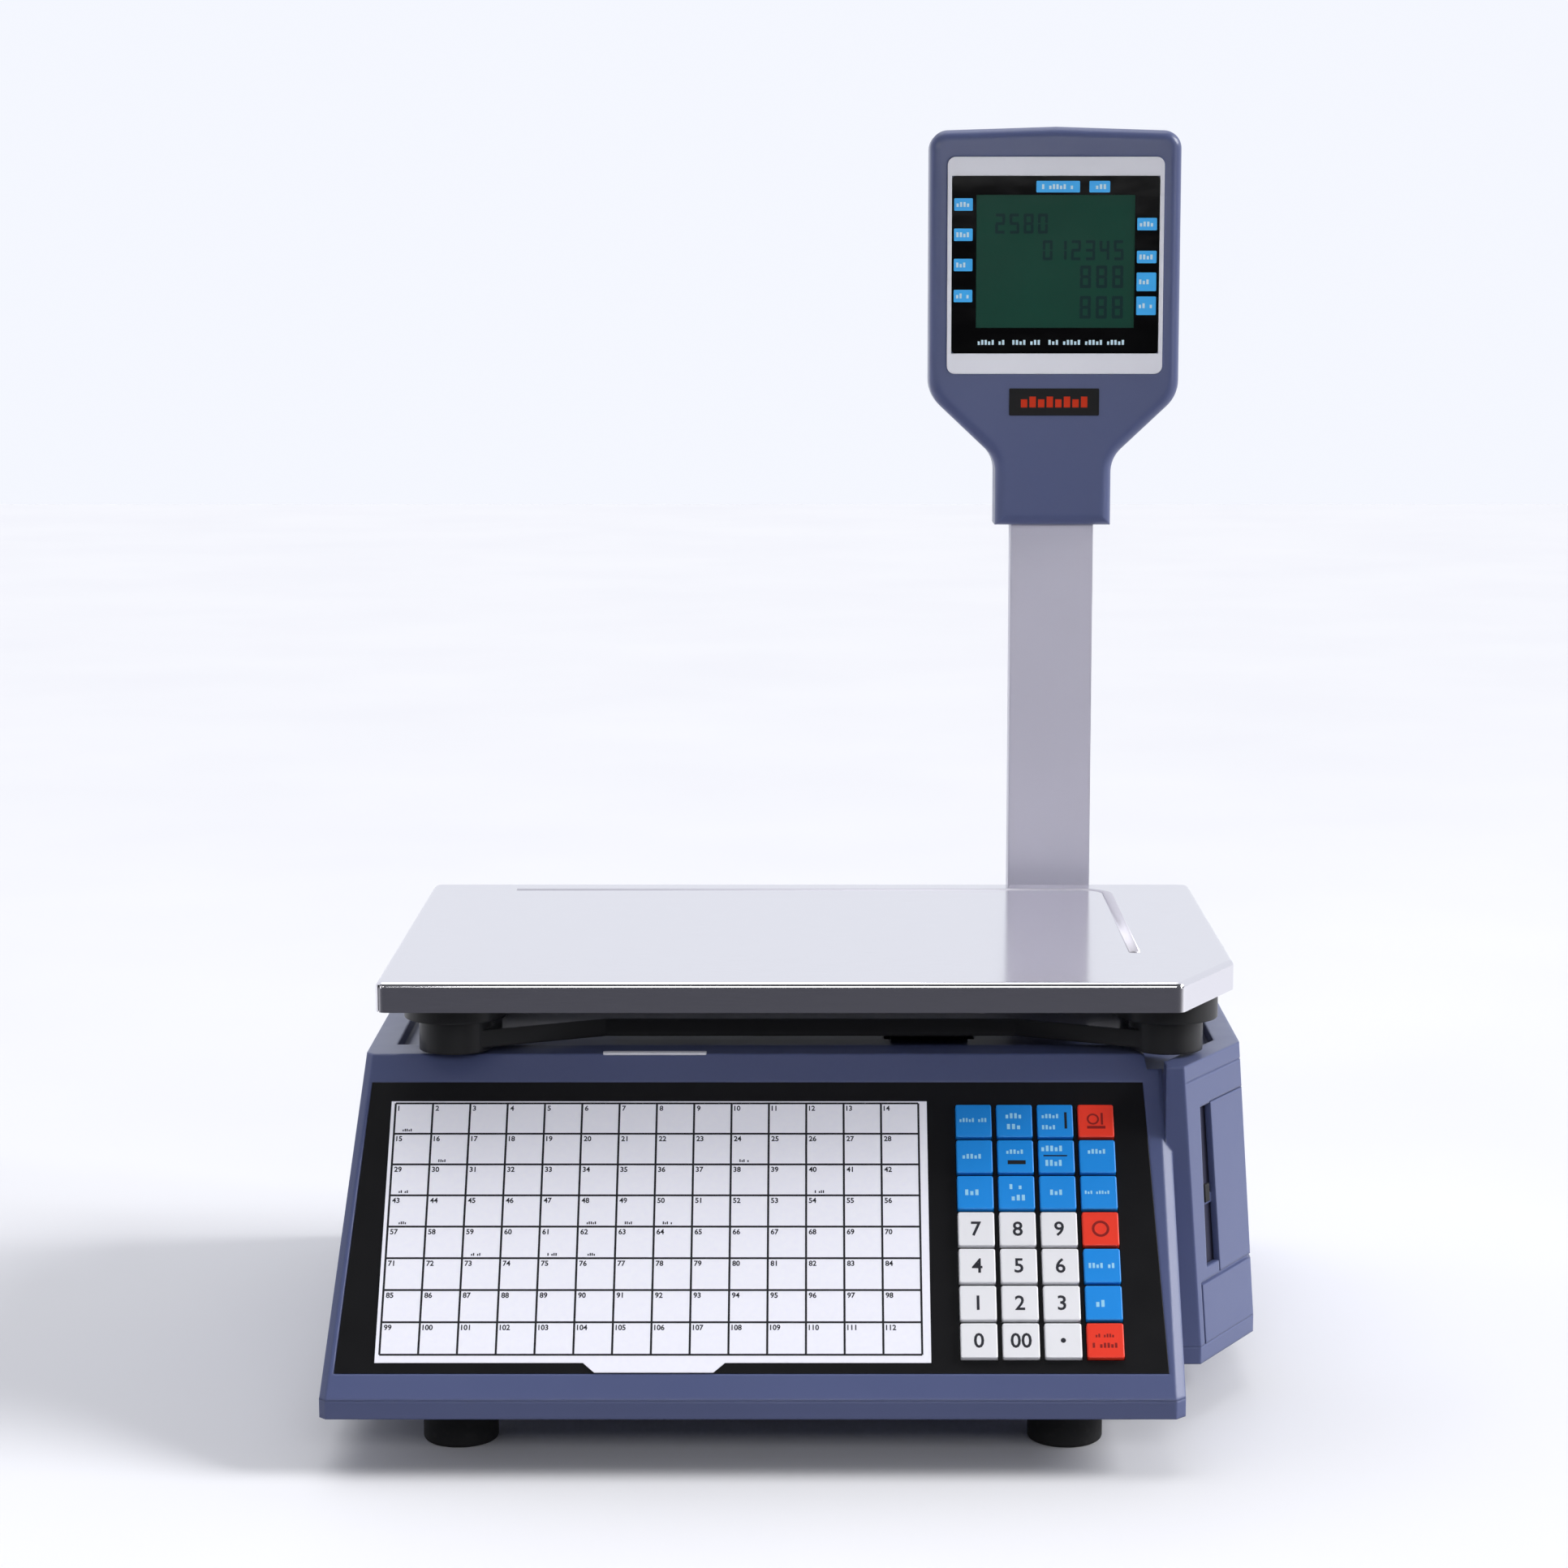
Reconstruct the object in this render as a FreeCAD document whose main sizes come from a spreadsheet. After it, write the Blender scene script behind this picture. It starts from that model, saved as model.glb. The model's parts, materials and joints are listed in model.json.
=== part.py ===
"""Retail price scale with a label printer and a customer display on a pole.

Millimetres. X points right, Y to the back, Z up. The origin is on the table, under the middle of the scale.
"""
import FreeCAD, Part
import os

import Sketcher

V = FreeCAD.Vector
TOP, FRONT, SIDE = "XY_Plane", "XZ_Plane", "YZ_Plane"

DIMENSIONS = [
    # housing: a drafted wedge with a printer bay on its right
    ("base_z", 25), ("parting_z", 33), ("top_z", 161), ("wall", 3),
    ("left_low", 207), ("left_high", 197), ("back_low", 191), ("back_high", 188),
    ("front_low", 191), ("wedge_right", 163.3), ("panel_angle", 51),
    ("bay_front", 114), ("nose_low", 177.5), ("nose_high", 168),
    ("right_low", 207), ("right_high", 198.5), ("chamfer_angle", 59.5),
    ("cavity_z", 152), ("deck_under_z", 158),
    ("well_z", 155), ("well_left", 185), ("well_right", 187), ("well_front", 68), ("well_back", 122),
    ("well_inset", 12), ("well_step", 14), ("well_side", 8),
    ("edge_cut", 4.3), ("left_cut", 3), ("bay_reach", 70), ("rear_reach", 190), ("rear_margin", 4),
    # panel, card and keys, measured up the slope from its foot
    ("fascia_foot", 12.5), ("fascia_head", 150.4), ("fascia_thick", 2), ("fascia_sunk", 1.8),
    ("fascia_left_low", 201), ("fascia_left_high", 193.3),
    ("fascia_right_low", 156.3), ("fascia_right_high", 151.4), ("ledge", 5),
    ("card_left", 184), ("card_right", 54.6), ("card_foot", 17.2), ("card_head", 140.8), ("card_thick", 0.5),
    ("tab_left", 94.7), ("tab_right", 33.8), ("tab_slant", 5), ("tab_foot", 12.8),
    ("key_first_x", 75.2), ("key_pitch_x", 18.1), ("key_first_row", 26.6), ("key_pitch_row", 17.3),
    ("key_side", 15.9), ("key_gap", 0.2), ("key_high", 2.6), ("key_flange_side", 16.9),
    ("key_flange_thick", 1.5), ("key_flange_drop", 0.1), ("key_round", 1), ("key_edge", 0.5),
    ("board_depth", 4.5), ("board_thick", 1.6),
    # feet
    ("foot_left_x", 151.3), ("foot_right_x", 114.9), ("foot_y", 139.4), ("foot_width", 33),
    ("foot_gap", 0.2), ("stem_width", 8), ("stem_high", 19), ("stem_gap", 0.05),
    ("foot_boss_width", 16), ("foot_boss_high", 18), ("foot_round", 2),
    # weighing parts
    ("tray_x", 3), ("tray_y", -9), ("tray_half_width", 190), ("tray_half_depth", 125),
    ("tray_top", 203), ("tray_rim", 13.3), ("sheet", 1.2), ("tray_cut_x", 28), ("tray_cut_y", 51.5),
    ("tray_corner", 5), ("tray_edge", 2.5),
    ("hub_left", 93), ("hub_right", 142), ("hub_half_deep", 59), ("cell_bore", 16), ("cell_bore_x", 22),
    ("post_x", 160), ("post_y", 73), ("post_width", 33), ("post_z", 163), ("arm_z", 165), ("arm_thick", 8),
    ("arm_width", 30), ("cap_width", 46), ("cap_z", 178), ("cap_high", 12),
    ("pad_width", 16), ("pad_gap", 0.05),
    ("cell_long", 150), ("cell_wide", 40), ("cell_high", 22), ("cell_z", 60), ("cell_gap", 0.4),
    ("column_side", 36), ("column_inset", 20), ("column_gap", 3),
    # printer door, label slot and hinge
    ("door_z", 62), ("door_top", 140), ("door_start", 25.2), ("door_back", 62), ("door_gap", 0.6),
    ("slot_start", 10), ("slot_z", 67), ("hinge_y", 65), ("hinge_inset", 1), ("hinge_end", 68),
    ("knuckle_width", 5), ("pin_width", 3), ("pin_gap", 0.05), ("knuckle_gap", 0.4),
    ("latch_z", 96), ("latch_high", 8), ("latch_start", 14.5), ("latch_long", 4.7), ("latch_travel", 3.2),
    ("latch_thick", 1.2), ("latch_sunk", 0.2), ("lip_long", 8), ("lip_sunk", 2.2), ("lip_thick", 1),
    ("lip_below", 2), ("lip_lap", 2.5),
    ("stem_inset", 0.7), ("stem_wide", 1.7), ("stem_low", 4.2), ("stem_tall", 2.8), ("guide_play", 0.2),
    ("strip_start", 16.2), ("strip_end", 39), ("strip_sunk", 3.5), ("strip_thick", 1),
    ("web_wide", 2.5), ("web_deep", 20),
    ("tab_start", 14.2),
    ("doorway_front", 102), ("doorway_back", 83), ("doorway_low", 40), ("doorway_high", 134),
    ("groove_start", 4.3), ("groove_wide", 1.4), ("groove_deep", 1.5), ("crease_z", 153),
    ("crease_high", 0.8), ("crease_deep", 0.5),
    # printer works, in the chamfer's own frame: along the chamfer, then inwards
    ("chassis_z", 58), ("chassis_thick", 3), ("bracket_z", 143),
    ("platen_x", 18.2), ("platen_y", 18), ("platen_width", 14), ("platen_z", 66), ("platen_high", 64),
    ("shaft_width", 6), ("shaft_gap", 0.05),
    ("head_block", 6.5), ("roll_x", 75), ("roll_y", 82), ("roll_width", 100), ("core_width", 40),
    ("roll_z", 64.2), ("roll_high", 60),
    # pole and display head
    ("pole_x", 124.75), ("pole_y", 158), ("pole_wide", 41.5), ("pole_deep", 20), ("pole_wall", 2),
    ("pole_z", 126), ("pole_end", 440), ("fit_gap", 0.05),
    ("hole_gap", 0.3), ("head_half", 62.65), ("neck_half", 29.2), ("neck_z", 382), ("flare_z", 415.6),
    ("shoulder_z", 447),
    ("head_z", 578), ("head_crown", 2), ("head_deep", 17), ("head_wall", 3), ("head_edge", 5.5),
    ("bezel_half", 53.9), ("bezel_z", 457.9), ("bezel_top", 565.1), ("bezel_thick", 2.2),
    ("bezel_proud", 0.6), ("bezel_corner", 4),
    ("window_half", 51.7), ("window_z", 468.1), ("window_top", 555.7), ("window_thick", 1.8),
    ("lcd_half", 39.5), ("lcd_z", 480.8), ("lcd_top", 546.4), ("lcd_thick", 3), ("lcd_sunk", 0.4),
    # power entry in the rear wall
    ("entry_x", -140), ("entry_z", 60), ("entry_half_wide", 26), ("entry_half_high", 15), ("entry_y", 188.6),
    ("rocker_tilt", 7), ("rocker_depth", 4.6), ("pivot_width", 3), ("pivot_reach", 7.3), ("pivot_gap", 0.05),
    # screws
    ("screw_width", 3.5), ("screw_head", 7), ("screw_long", 18), ("screw_boss", 10), ("screw_boss_high", 22),
    ("screw_inset", 7.5), ("screw_head_high", 2.5),
]

KEY_ROWS = [
    ["key_0", "key_00", "key_point", "key_print"],
    ["key_1", "key_2", "key_3", "key_total"],
    ["key_4", "key_5", "key_6", "key_add"],
    ["key_7", "key_8", "key_9", "key_clear"],
    ["key_tare", "key_change", "key_zero", "key_cash"],
    ["key_f4", "key_f5", "key_f6", "key_f7"],
    ["key_f1", "key_f2", "key_f3", "key_feed"],
]

FOOT_PLACES = {
    "foot_front_left": ("-Size.foot_left_x", "-Size.foot_y"),
    "foot_front_right": ("Size.foot_right_x", "-Size.foot_y"),
    "foot_rear_left": ("-Size.foot_left_x", "Size.foot_y"),
    "foot_rear_right": ("Size.foot_right_x", "Size.foot_y"),
}

DOC = FreeCAD.newDocument("PriceScale")


# ---------------------------------------------------------------- document helpers

def fill_sheet():
    """Write every driving dimension to the sheet, one aliased cell each."""
    sheet = DOC.addObject("Spreadsheet::Sheet", "Size")
    for row, (alias, value) in enumerate(DIMENSIONS, start=1):
        sheet.set(f"A{row}", alias)
        sheet.set(f"B{row}", str(value))
        sheet.setAlias(f"B{row}", alias)
    DOC.recompute()


def new_body(name, place=("0", "0", "0"), axis=V(0, 0, 1), angle="0"):
    """A body whose frame sits at the given place, turned about an axis."""
    body = DOC.addObject("PartDesign::Body", name)
    body.Label = name
    body.Placement = FreeCAD.Placement(V(0, 0, 0), FreeCAD.Rotation(axis, 1))
    for letter, expression in zip("xyz", place):
        body.setExpression(f"Placement.Base.{letter}", expression)
    body.setExpression("Placement.Rotation.Angle", f"({angle}) * 1 deg")
    return body


def new_sketch(body, plane, height="0"):
    """A sketch on one of the body's own planes, raised along the plane's normal."""
    sketch = body.newObject("Sketcher::SketchObject", f"{body.Name}_sketch")
    support = next(f for f in body.Origin.OriginFeatures if f.Role == plane)
    sketch.AttachmentSupport = (support, "")
    sketch.MapMode = "FlatFace"
    sketch.setExpression("AttachmentOffset.Base.z", height)
    return sketch


def panel_sketch(body, height="0"):
    """A sketch on the sloping panel of the housing: x to the right, y up the slope."""
    sketch = new_sketch(body, TOP)
    sketch.AttachmentOffset = FreeCAD.Placement(V(0, 0, 0), FreeCAD.Rotation(V(1, 0, 0), 1))
    slope = "Size.panel_angle * 1 deg"
    sketch.setExpression("AttachmentOffset.Base.y", f"-Size.front_low - ({height}) * sin({slope})")
    sketch.setExpression("AttachmentOffset.Base.z", f"Size.parting_z + ({height}) * cos({slope})")
    sketch.setExpression("AttachmentOffset.Rotation.Angle", slope)
    return sketch


def pin_point(sketch, geometry, vertex, place):
    """Hold a point of the sketch at a place given by two expressions."""
    for kind, expression in zip(("DistanceX", "DistanceY"), place):
        value = float(sketch.evalExpression(expression))
        number = sketch.addConstraint(Sketcher.Constraint(kind, -1, 1, geometry, vertex, value))
        sketch.setExpression(f"Constraints[{number}]", expression)


def outline(sketch, places):
    """A closed outline of straight lines through the places."""
    values = [V(*(float(sketch.evalExpression(e)) for e in place), 0) for place in places]
    first = sketch.GeometryCount
    count = len(places)
    for i in range(count):
        sketch.addGeometry(Part.LineSegment(values[i], values[(i + 1) % count]), False)
    for i in range(count):
        sketch.addConstraint(
            Sketcher.Constraint("Coincident", first + i, 2, first + (i + 1) % count, 1)
        )
    for i in range(count):
        pin_point(sketch, first + i, 1, places[i])
    return sketch


def rectangle(sketch, left, low, right, high):
    return outline(sketch, [(left, low), (right, low), (right, high), (left, high)])


def circles(sketch, places, width):
    """One circle of the same width at each place."""
    for place in places:
        centre = V(*(float(sketch.evalExpression(e)) for e in place), 0)
        radius = float(sketch.evalExpression(width)) / 2
        number = sketch.addGeometry(Part.Circle(centre, V(0, 0, 1), radius), False)
        pin_point(sketch, number, 3, place)
        size = sketch.addConstraint(Sketcher.Constraint("Diameter", number, 2 * radius))
        sketch.setExpression(f"Constraints[{size}]", width)
    return sketch


def body_of(sketch):
    return sketch.getParentGeoFeatureGroup()


def add_feature(sketch, kind, length, backwards=False):
    """A pad or a pocket. Raises an error when it leaves the solid as it was."""
    body = body_of(sketch)
    before = body.Tip.Shape.Volume if body.Tip else 0
    feature = body.newObject(f"PartDesign::{kind}", f"{body.Name}_{kind.lower()}")
    feature.Profile = sketch
    feature.setExpression("Length", length)
    feature.Reversed = backwards
    sketch.recompute()
    feature.recompute()
    if abs(feature.Shape.Volume - before) < 1e-3:
        raise ValueError(f"{feature.Name} changes nothing")
    return feature


def pad(sketch, length, backwards=False):
    return add_feature(sketch, "Pad", length, backwards)


def pocket(sketch, length, backwards=False):
    return add_feature(sketch, "Pocket", length, backwards)


def loft(low, high, kind="AdditiveLoft"):
    """A ruled loft between two sketches with as many points each."""
    body = body_of(low)
    before = body.Tip.Shape.Volume if body.Tip else 0
    feature = body.newObject(f"PartDesign::{kind}", f"{body.Name}_{kind.lower()}")
    feature.Profile = low
    feature.Sections = [high]
    feature.Ruled = True
    for item in (low, high, feature):
        item.recompute()
    if abs(feature.Shape.Volume - before) < 1e-3:
        raise ValueError(f"{feature.Name} changes nothing")
    return feature


def lofted(body, make_outline, low, high, kind="AdditiveLoft"):
    """A loft between the same outline drawn at two levels."""
    sketches = [outline(new_sketch(body, TOP, level), make_outline(level)) for level in (low, high)]
    return loft(*sketches, kind=kind)


def lofted_circle(body, centre, width, low, high, kind="AdditiveLoft"):
    """A round bar or hole whose centre follows a leaning wall."""
    sketches = [circles(new_sketch(body, TOP, level), [centre(level)], width) for level in (low, high)]
    return loft(*sketches, kind=kind)


def turned(sketch, kind="Revolution"):
    """A full turn of the sketch about its own vertical axis."""
    body = body_of(sketch)
    feature = body.newObject(f"PartDesign::{kind}", f"{body.Name}_turn")
    feature.Profile = sketch
    feature.ReferenceAxis = (sketch, ["V_Axis"])
    feature.Angle = 360
    sketch.recompute()
    feature.recompute()
    return feature


def edges(body, wanted):
    """Names of the body's edges for which wanted(edge) is true."""
    return [f"Edge{i}" for i, edge in enumerate(body.Tip.Shape.Edges, start=1) if wanted(edge)]


def dress(body, kind, names, size):
    """A fillet or chamfer on the named edges."""
    if not names:
        raise ValueError(f"{body.Name} has no such edges")
    base = body.Tip
    feature = body.newObject(f"PartDesign::{kind}", f"{body.Name}_{kind.lower()}")
    feature.Base = (base, names)
    feature.setExpression("Radius" if kind == "Fillet" else "Size", size)
    feature.recompute()
    return feature


def is_along(edge, direction):
    """True for a straight edge that runs along the direction."""
    if len(edge.Vertexes) != 2:
        return False
    run = edge.Vertexes[1].Point - edge.Vertexes[0].Point
    return run.Length > 1e-6 and abs(abs(run.normalize().dot(direction)) - 1) < 1e-4


def is_level(edge, axis, value):
    """True when the whole edge lies at one value of the axis (0, 1 or 2)."""
    return all(abs(v.Point[axis] - value) < 1e-4 for v in edge.Vertexes)


# ---------------------------------------------------------------- outlines of the housing

SLOPE = "(Size.panel_angle * 1 deg)"
CHAMFER = "(Size.chamfer_angle * 1 deg)"


def lean(low, high, level):
    """A length that runs evenly from low at the parting line to high at the top."""
    return f"({low} + ({high} - {low}) * ({level} - Size.parting_z) / (Size.top_z - Size.parting_z))"


def nose_x(level):
    return lean("Size.nose_low", "Size.nose_high", level)


def side_x(level):
    return lean("Size.right_low", "Size.right_high", level)


def left_x(level):
    return f"-{lean('Size.left_low', 'Size.left_high', level)}"


def back_y(level):
    return lean("Size.back_low", "Size.back_high", level)


def chamfer_corner_y(level):
    """Where the chamfer meets the right side."""
    return f"(-Size.bay_front + ({side_x(level)} - {nose_x(level)}) * tan{CHAMFER})"


def nose_corner(level, inset):
    return (f"{nose_x(level)} - ({inset}) * tan({CHAMFER} / 2)", f"-Size.bay_front + ({inset})")


def side_corner(level, inset):
    rise = f"({inset}) * tan((90 * 1 deg - {CHAMFER}) / 2)"
    return (f"{side_x(level)} - ({inset})", f"{chamfer_corner_y(level)} + {rise}")


def chamfer_point(level, along, inset):
    """A point that far along the chamfer from the nose, and that far inside it."""
    return (
        f"{nose_x(level)} + ({along}) * cos{CHAMFER} - ({inset}) * sin{CHAMFER}",
        f"-Size.bay_front + ({along}) * sin{CHAMFER} + ({inset}) * cos{CHAMFER}",
    )


def front_corners(left, front, right):
    """The two front corners of the housing, each cut by a flat."""
    return [(left, f"{front} + Size.left_cut"), (f"{left} + Size.left_cut", front),
            (f"{right} - Size.edge_cut", front), (right, f"{front} + Size.edge_cut")]


def tub_skin():
    """The housing's outline at the parting line, going round from the front left."""
    level = "Size.parting_z"
    corners = front_corners("-Size.left_low", "-Size.front_low", "Size.wedge_right")
    side = side_corner(level, "0")
    rest = [("Size.wedge_right", "-Size.bay_front"), nose_corner(level, "0"), side,
            (side[0], "Size.back_low"), ("-Size.left_low", "Size.back_low")]
    return corners + rest


def tub_cavity():
    """The same outline inside the walls, with square corners."""
    level = "Size.parting_z"
    left, front = "-Size.left_low + Size.wall", "-Size.front_low + Size.wall"
    right, back = "Size.wedge_right - Size.wall", "Size.back_low - Size.wall"
    nose = nose_corner(level, "Size.wall")
    side = side_corner(level, "Size.wall")
    return [(left, front), (right, front), (right, nose[1]), nose, side, (side[0], back), (left, back)]


def panel_front(level):
    """How far forward the sloping panel stands at a level."""
    return f"(-Size.front_low + ({level} - Size.parting_z) / tan{SLOPE})"


def wedge_skin(level):
    """The wedge's outline at a level."""
    left, back = left_x(level), back_y(level)
    corners = front_corners(left, panel_front(level), "Size.wedge_right")
    return corners + [("Size.wedge_right", back), (left, back)]


def wedge_cavity(level):
    """The outline of the space inside the wedge at a level."""
    front = f"{panel_front(level)} + Size.wall / sin{SLOPE}"
    left, right = f"{left_x(level)} + Size.wall", "Size.wedge_right - Size.wall"
    back = f"{back_y(level)} - Size.wall"
    return [(left, front), (right, front), (right, back), (left, back)]


def bay_skin(level):
    """The outline of the printer bay, which stands on the wedge's right side."""
    start = "Size.wedge_right - Size.wall"
    side, back = side_corner(level, "0"), back_y(level)
    return [(start, "-Size.bay_front"), nose_corner(level, "0"), side, (side[0], back), (start, back)]


def bay_cavity(level):
    """The space inside the bay, which runs on into the wedge behind the doorway."""
    nose, side = nose_corner(level, "Size.wall"), side_corner(level, "Size.wall")
    back = f"{back_y(level)} - Size.wall"
    start, inner = "Size.wedge_right", "Size.wedge_right - Size.bay_reach"
    behind = "-Size.doorway_back - 1"
    return [(start, nose[1]), nose, side, (side[0], back), (inner, back), (inner, behind), (start, behind)]


def door_outline(outer, inner, start, end):
    """The strip that follows the chamfer and the right side, between two insets."""
    def at(level):
        outer_side = side_corner(level, outer)
        inner_side = side_corner(level, inner)
        return [
            chamfer_point(level, start, outer), outer_side, (outer_side[0], end),
            (inner_side[0], end), inner_side, chamfer_point(level, start, inner),
        ]
    return at


def hinge_point(level):
    """The hinge axis follows the leaning side."""
    return (f"{side_x(level)} - Size.hinge_inset", "Size.hinge_y")


def fascia_outline(grow):
    """The fascia's tapering outline on the panel, grown by a clearance (or shrunk by a negative one)."""
    low, high = f"Size.fascia_foot - ({grow})", f"Size.fascia_head + ({grow})"
    return [
        (f"-Size.fascia_left_low - ({grow})", low), (f"Size.fascia_right_low + ({grow})", low),
        (f"Size.fascia_right_high + ({grow})", high), (f"-Size.fascia_left_high - ({grow})", high),
    ]


# ---------------------------------------------------------------- housing

TUB_FLOOR = "Size.base_z + Size.wall"
CELL_LEFT = "(Size.tray_x - Size.cell_long / 2)"
CELL_RIGHT = "(Size.tray_x + Size.cell_long / 2)"
COLUMN_X = f"({CELL_RIGHT} - Size.column_inset)"
BOARD_POSTS = [(x, y) for x in ("-185", "-95") for y in ("-35", "95")]
KNUCKLE_STEP = "((Size.door_top - Size.door_z) / 5)"
SCREW_PLACES = [
    ("-Size.left_low + Size.screw_inset", "-150"), ("-Size.left_low + Size.screw_inset", "0"),
    ("-Size.left_low + Size.screw_inset", "150"), ("Size.right_low - Size.screw_inset", "0"),
    ("Size.right_low - Size.screw_inset", "150"), ("Size.wedge_right - Size.screw_inset", "-150"),
]


def knuckle_levels(number):
    """Lowest and highest level of one of the five hinge knuckles, counted from the bottom."""
    low = f"Size.door_z + {number} * {KNUCKLE_STEP} + Size.knuckle_gap / 2"
    high = f"Size.door_z + {number + 1} * {KNUCKLE_STEP} - Size.knuckle_gap / 2"
    return low, high


def base_tub():
    """Floor and skirt, with bosses for the feet, the screws, the load cell and the main board."""
    body = new_body("base_tub")
    pad(outline(new_sketch(body, TOP, "Size.base_z"), tub_skin()), "Size.parting_z - Size.base_z")
    pocket(
        outline(new_sketch(body, TOP, "Size.parting_z"), tub_cavity()),
        "Size.parting_z - Size.base_z - Size.wall",
    )
    pad(circles(new_sketch(body, TOP, TUB_FLOOR), FOOT_PLACES.values(), "Size.foot_boss_width"),
        "Size.foot_boss_high")
    pad(circles(new_sketch(body, TOP, TUB_FLOOR), SCREW_PLACES, "Size.screw_boss"),
        "Size.parting_z - Size.base_z - Size.wall")
    pad(circles(new_sketch(body, TOP, TUB_FLOOR), BOARD_POSTS, "7"), "8")
    pad(rectangle(new_sketch(body, TOP, TUB_FLOOR), CELL_LEFT, "Size.tray_y - Size.cell_wide / 2",
                  f"{CELL_LEFT} + 40", "Size.tray_y + Size.cell_wide / 2"),
        f"Size.cell_z - ({TUB_FLOOR})")
    holes = circles(new_sketch(body, TOP, f"{TUB_FLOOR} + Size.foot_boss_high"), FOOT_PLACES.values(),
                    "Size.stem_width + 2 * Size.stem_gap")
    pocket(holes, "Size.foot_boss_high + Size.wall")
    pocket(circles(new_sketch(body, TOP, "Size.parting_z"), SCREW_PLACES, "Size.screw_width + 0.5"),
           "Size.parting_z - Size.base_z")
    pocket(circles(new_sketch(body, TOP, TUB_FLOOR), SCREW_PLACES, "Size.screw_head + 0.4"), "Size.wall")
    vents = new_sketch(body, TOP, TUB_FLOOR)
    for slot in range(8):
        left = f"-60 + {slot} * 12"
        rectangle(vents, left, "60", f"{left} + 5", "120")
    pocket(vents, "Size.wall")
    return body


def top_cover():
    """The upper shell: sloping panel, printer bay, tray well, rear deck and all their openings."""
    body = new_body("top_cover")
    lofted(body, wedge_skin, "Size.parting_z", "Size.top_z")
    lofted(body, bay_skin, "Size.parting_z", "Size.top_z")
    lofted(body, wedge_cavity, "Size.parting_z", "Size.cavity_z", "SubtractiveLoft")
    lofted(body, bay_cavity, "Size.parting_z", "Size.cavity_z", "SubtractiveLoft")
    pocket(rectangle(new_sketch(body, TOP, "Size.deck_under_z"), "-Size.rear_reach",
                     "Size.well_back + Size.rear_margin", "Size.rear_reach", "Size.back_high - Size.rear_margin"),
           "Size.deck_under_z - Size.cavity_z + 1")
    cut_tray_well(body)
    cut_panel(body)
    cut_printer_openings(body)
    cut_grooves(body)
    pad(circles(new_sketch(body, TOP, "Size.parting_z"), SCREW_PLACES, "Size.screw_boss"),
        "Size.screw_boss_high")
    pocket(circles(new_sketch(body, TOP, "Size.parting_z"), SCREW_PLACES, "Size.screw_width + 0.1"),
           "Size.screw_boss_high - 2", backwards=True)
    add_hinge_eyes(body)
    cut_rear_openings(body)
    return body


def cut_tray_well(body):
    """The shallow well under the tray, with the opening for the load column."""
    corner = side_corner("Size.top_z", "Size.well_inset")
    nose = nose_corner("Size.top_z", "Size.well_inset")
    well = [
        ("-Size.well_left", "-Size.well_front"), ("Size.wedge_right - Size.well_step", "-Size.well_front"),
        ("Size.wedge_right - Size.well_side", nose[1]), nose, ("Size.well_right", corner[1]),
        ("Size.well_right", "Size.well_back"), ("-Size.well_left", "Size.well_back"),
    ]
    pocket(outline(new_sketch(body, TOP, "Size.top_z"), well), "Size.top_z - Size.well_z")
    reach = "(Size.column_side / 2 + Size.column_gap)"
    pocket(rectangle(new_sketch(body, TOP, "Size.well_z"),
                     f"{COLUMN_X} - {reach}", f"Size.tray_y - {reach}",
                     f"{COLUMN_X} + {reach}", f"Size.tray_y + {reach}"),
           "Size.well_z - Size.cavity_z + 1")


def cut_panel(body):
    """The seat of the fascia in the sloping panel, and the window behind it."""
    pocket(outline(panel_sketch(body, "1"), fascia_outline("Size.fit_gap")), "Size.fascia_sunk + 1")
    pocket(outline(panel_sketch(body, "1"), fascia_outline("-Size.ledge")), "Size.wall + 3")


def cut_printer_openings(body):
    """The label slot, and the opening that the door fills."""
    opening = door_outline("-1", "Size.wall + 1", "Size.door_start - 1", "Size.hinge_end")
    lofted(body, opening, "Size.door_z - Size.door_gap", "Size.door_top + Size.door_gap", "SubtractiveLoft")
    level = "Size.parting_z"
    pocket(rectangle(new_sketch(body, TOP, "Size.doorway_high"),
                     "Size.wedge_right - Size.wall - 6", "-Size.doorway_front",
                     "Size.wedge_right + 1", "-Size.doorway_back"),
           "Size.doorway_high - Size.doorway_low")
    slot = [
        chamfer_point(level, "Size.slot_start", "-1"), chamfer_point(level, "Size.door_start", "-1"),
        chamfer_point(level, "Size.door_start", "11"), chamfer_point(level, "Size.slot_start", "11"),
    ]
    pocket(outline(new_sketch(body, TOP, "Size.door_top"), slot), "Size.door_top - Size.slot_z")


def cut_grooves(body):
    """Shallow grooves that set off the block under the door, and the crease under the bay's top edge."""
    under_door = "Size.door_z - Size.door_gap"
    upright = chamfer_strip("Size.groove_start", "Size.groove_start + Size.groove_wide",
                            "-1", "Size.groove_deep")
    lofted(body, upright, "Size.parting_z", under_door, "SubtractiveLoft")
    level_groove = door_outline("-1", "Size.groove_deep", "Size.groove_start", "Size.door_back")
    lofted(body, level_groove, f"{under_door} - Size.groove_wide", f"{under_door} + 0.1", "SubtractiveLoft")
    crease = door_outline("-1", "Size.crease_deep", "1", "Size.hinge_end")
    lofted(body, crease, "Size.crease_z", "Size.crease_z + Size.crease_high", "SubtractiveLoft")


def add_hinge_eyes(body):
    """Three of the five knuckles stand on the cover, with an arm to its wall."""
    for number in (0, 2, 4):
        low, high = knuckle_levels(number)
        add_knuckle(body, low, high, "Size.hinge_y", "Size.hinge_end + 1")
    bore_hinge(body)


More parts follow.
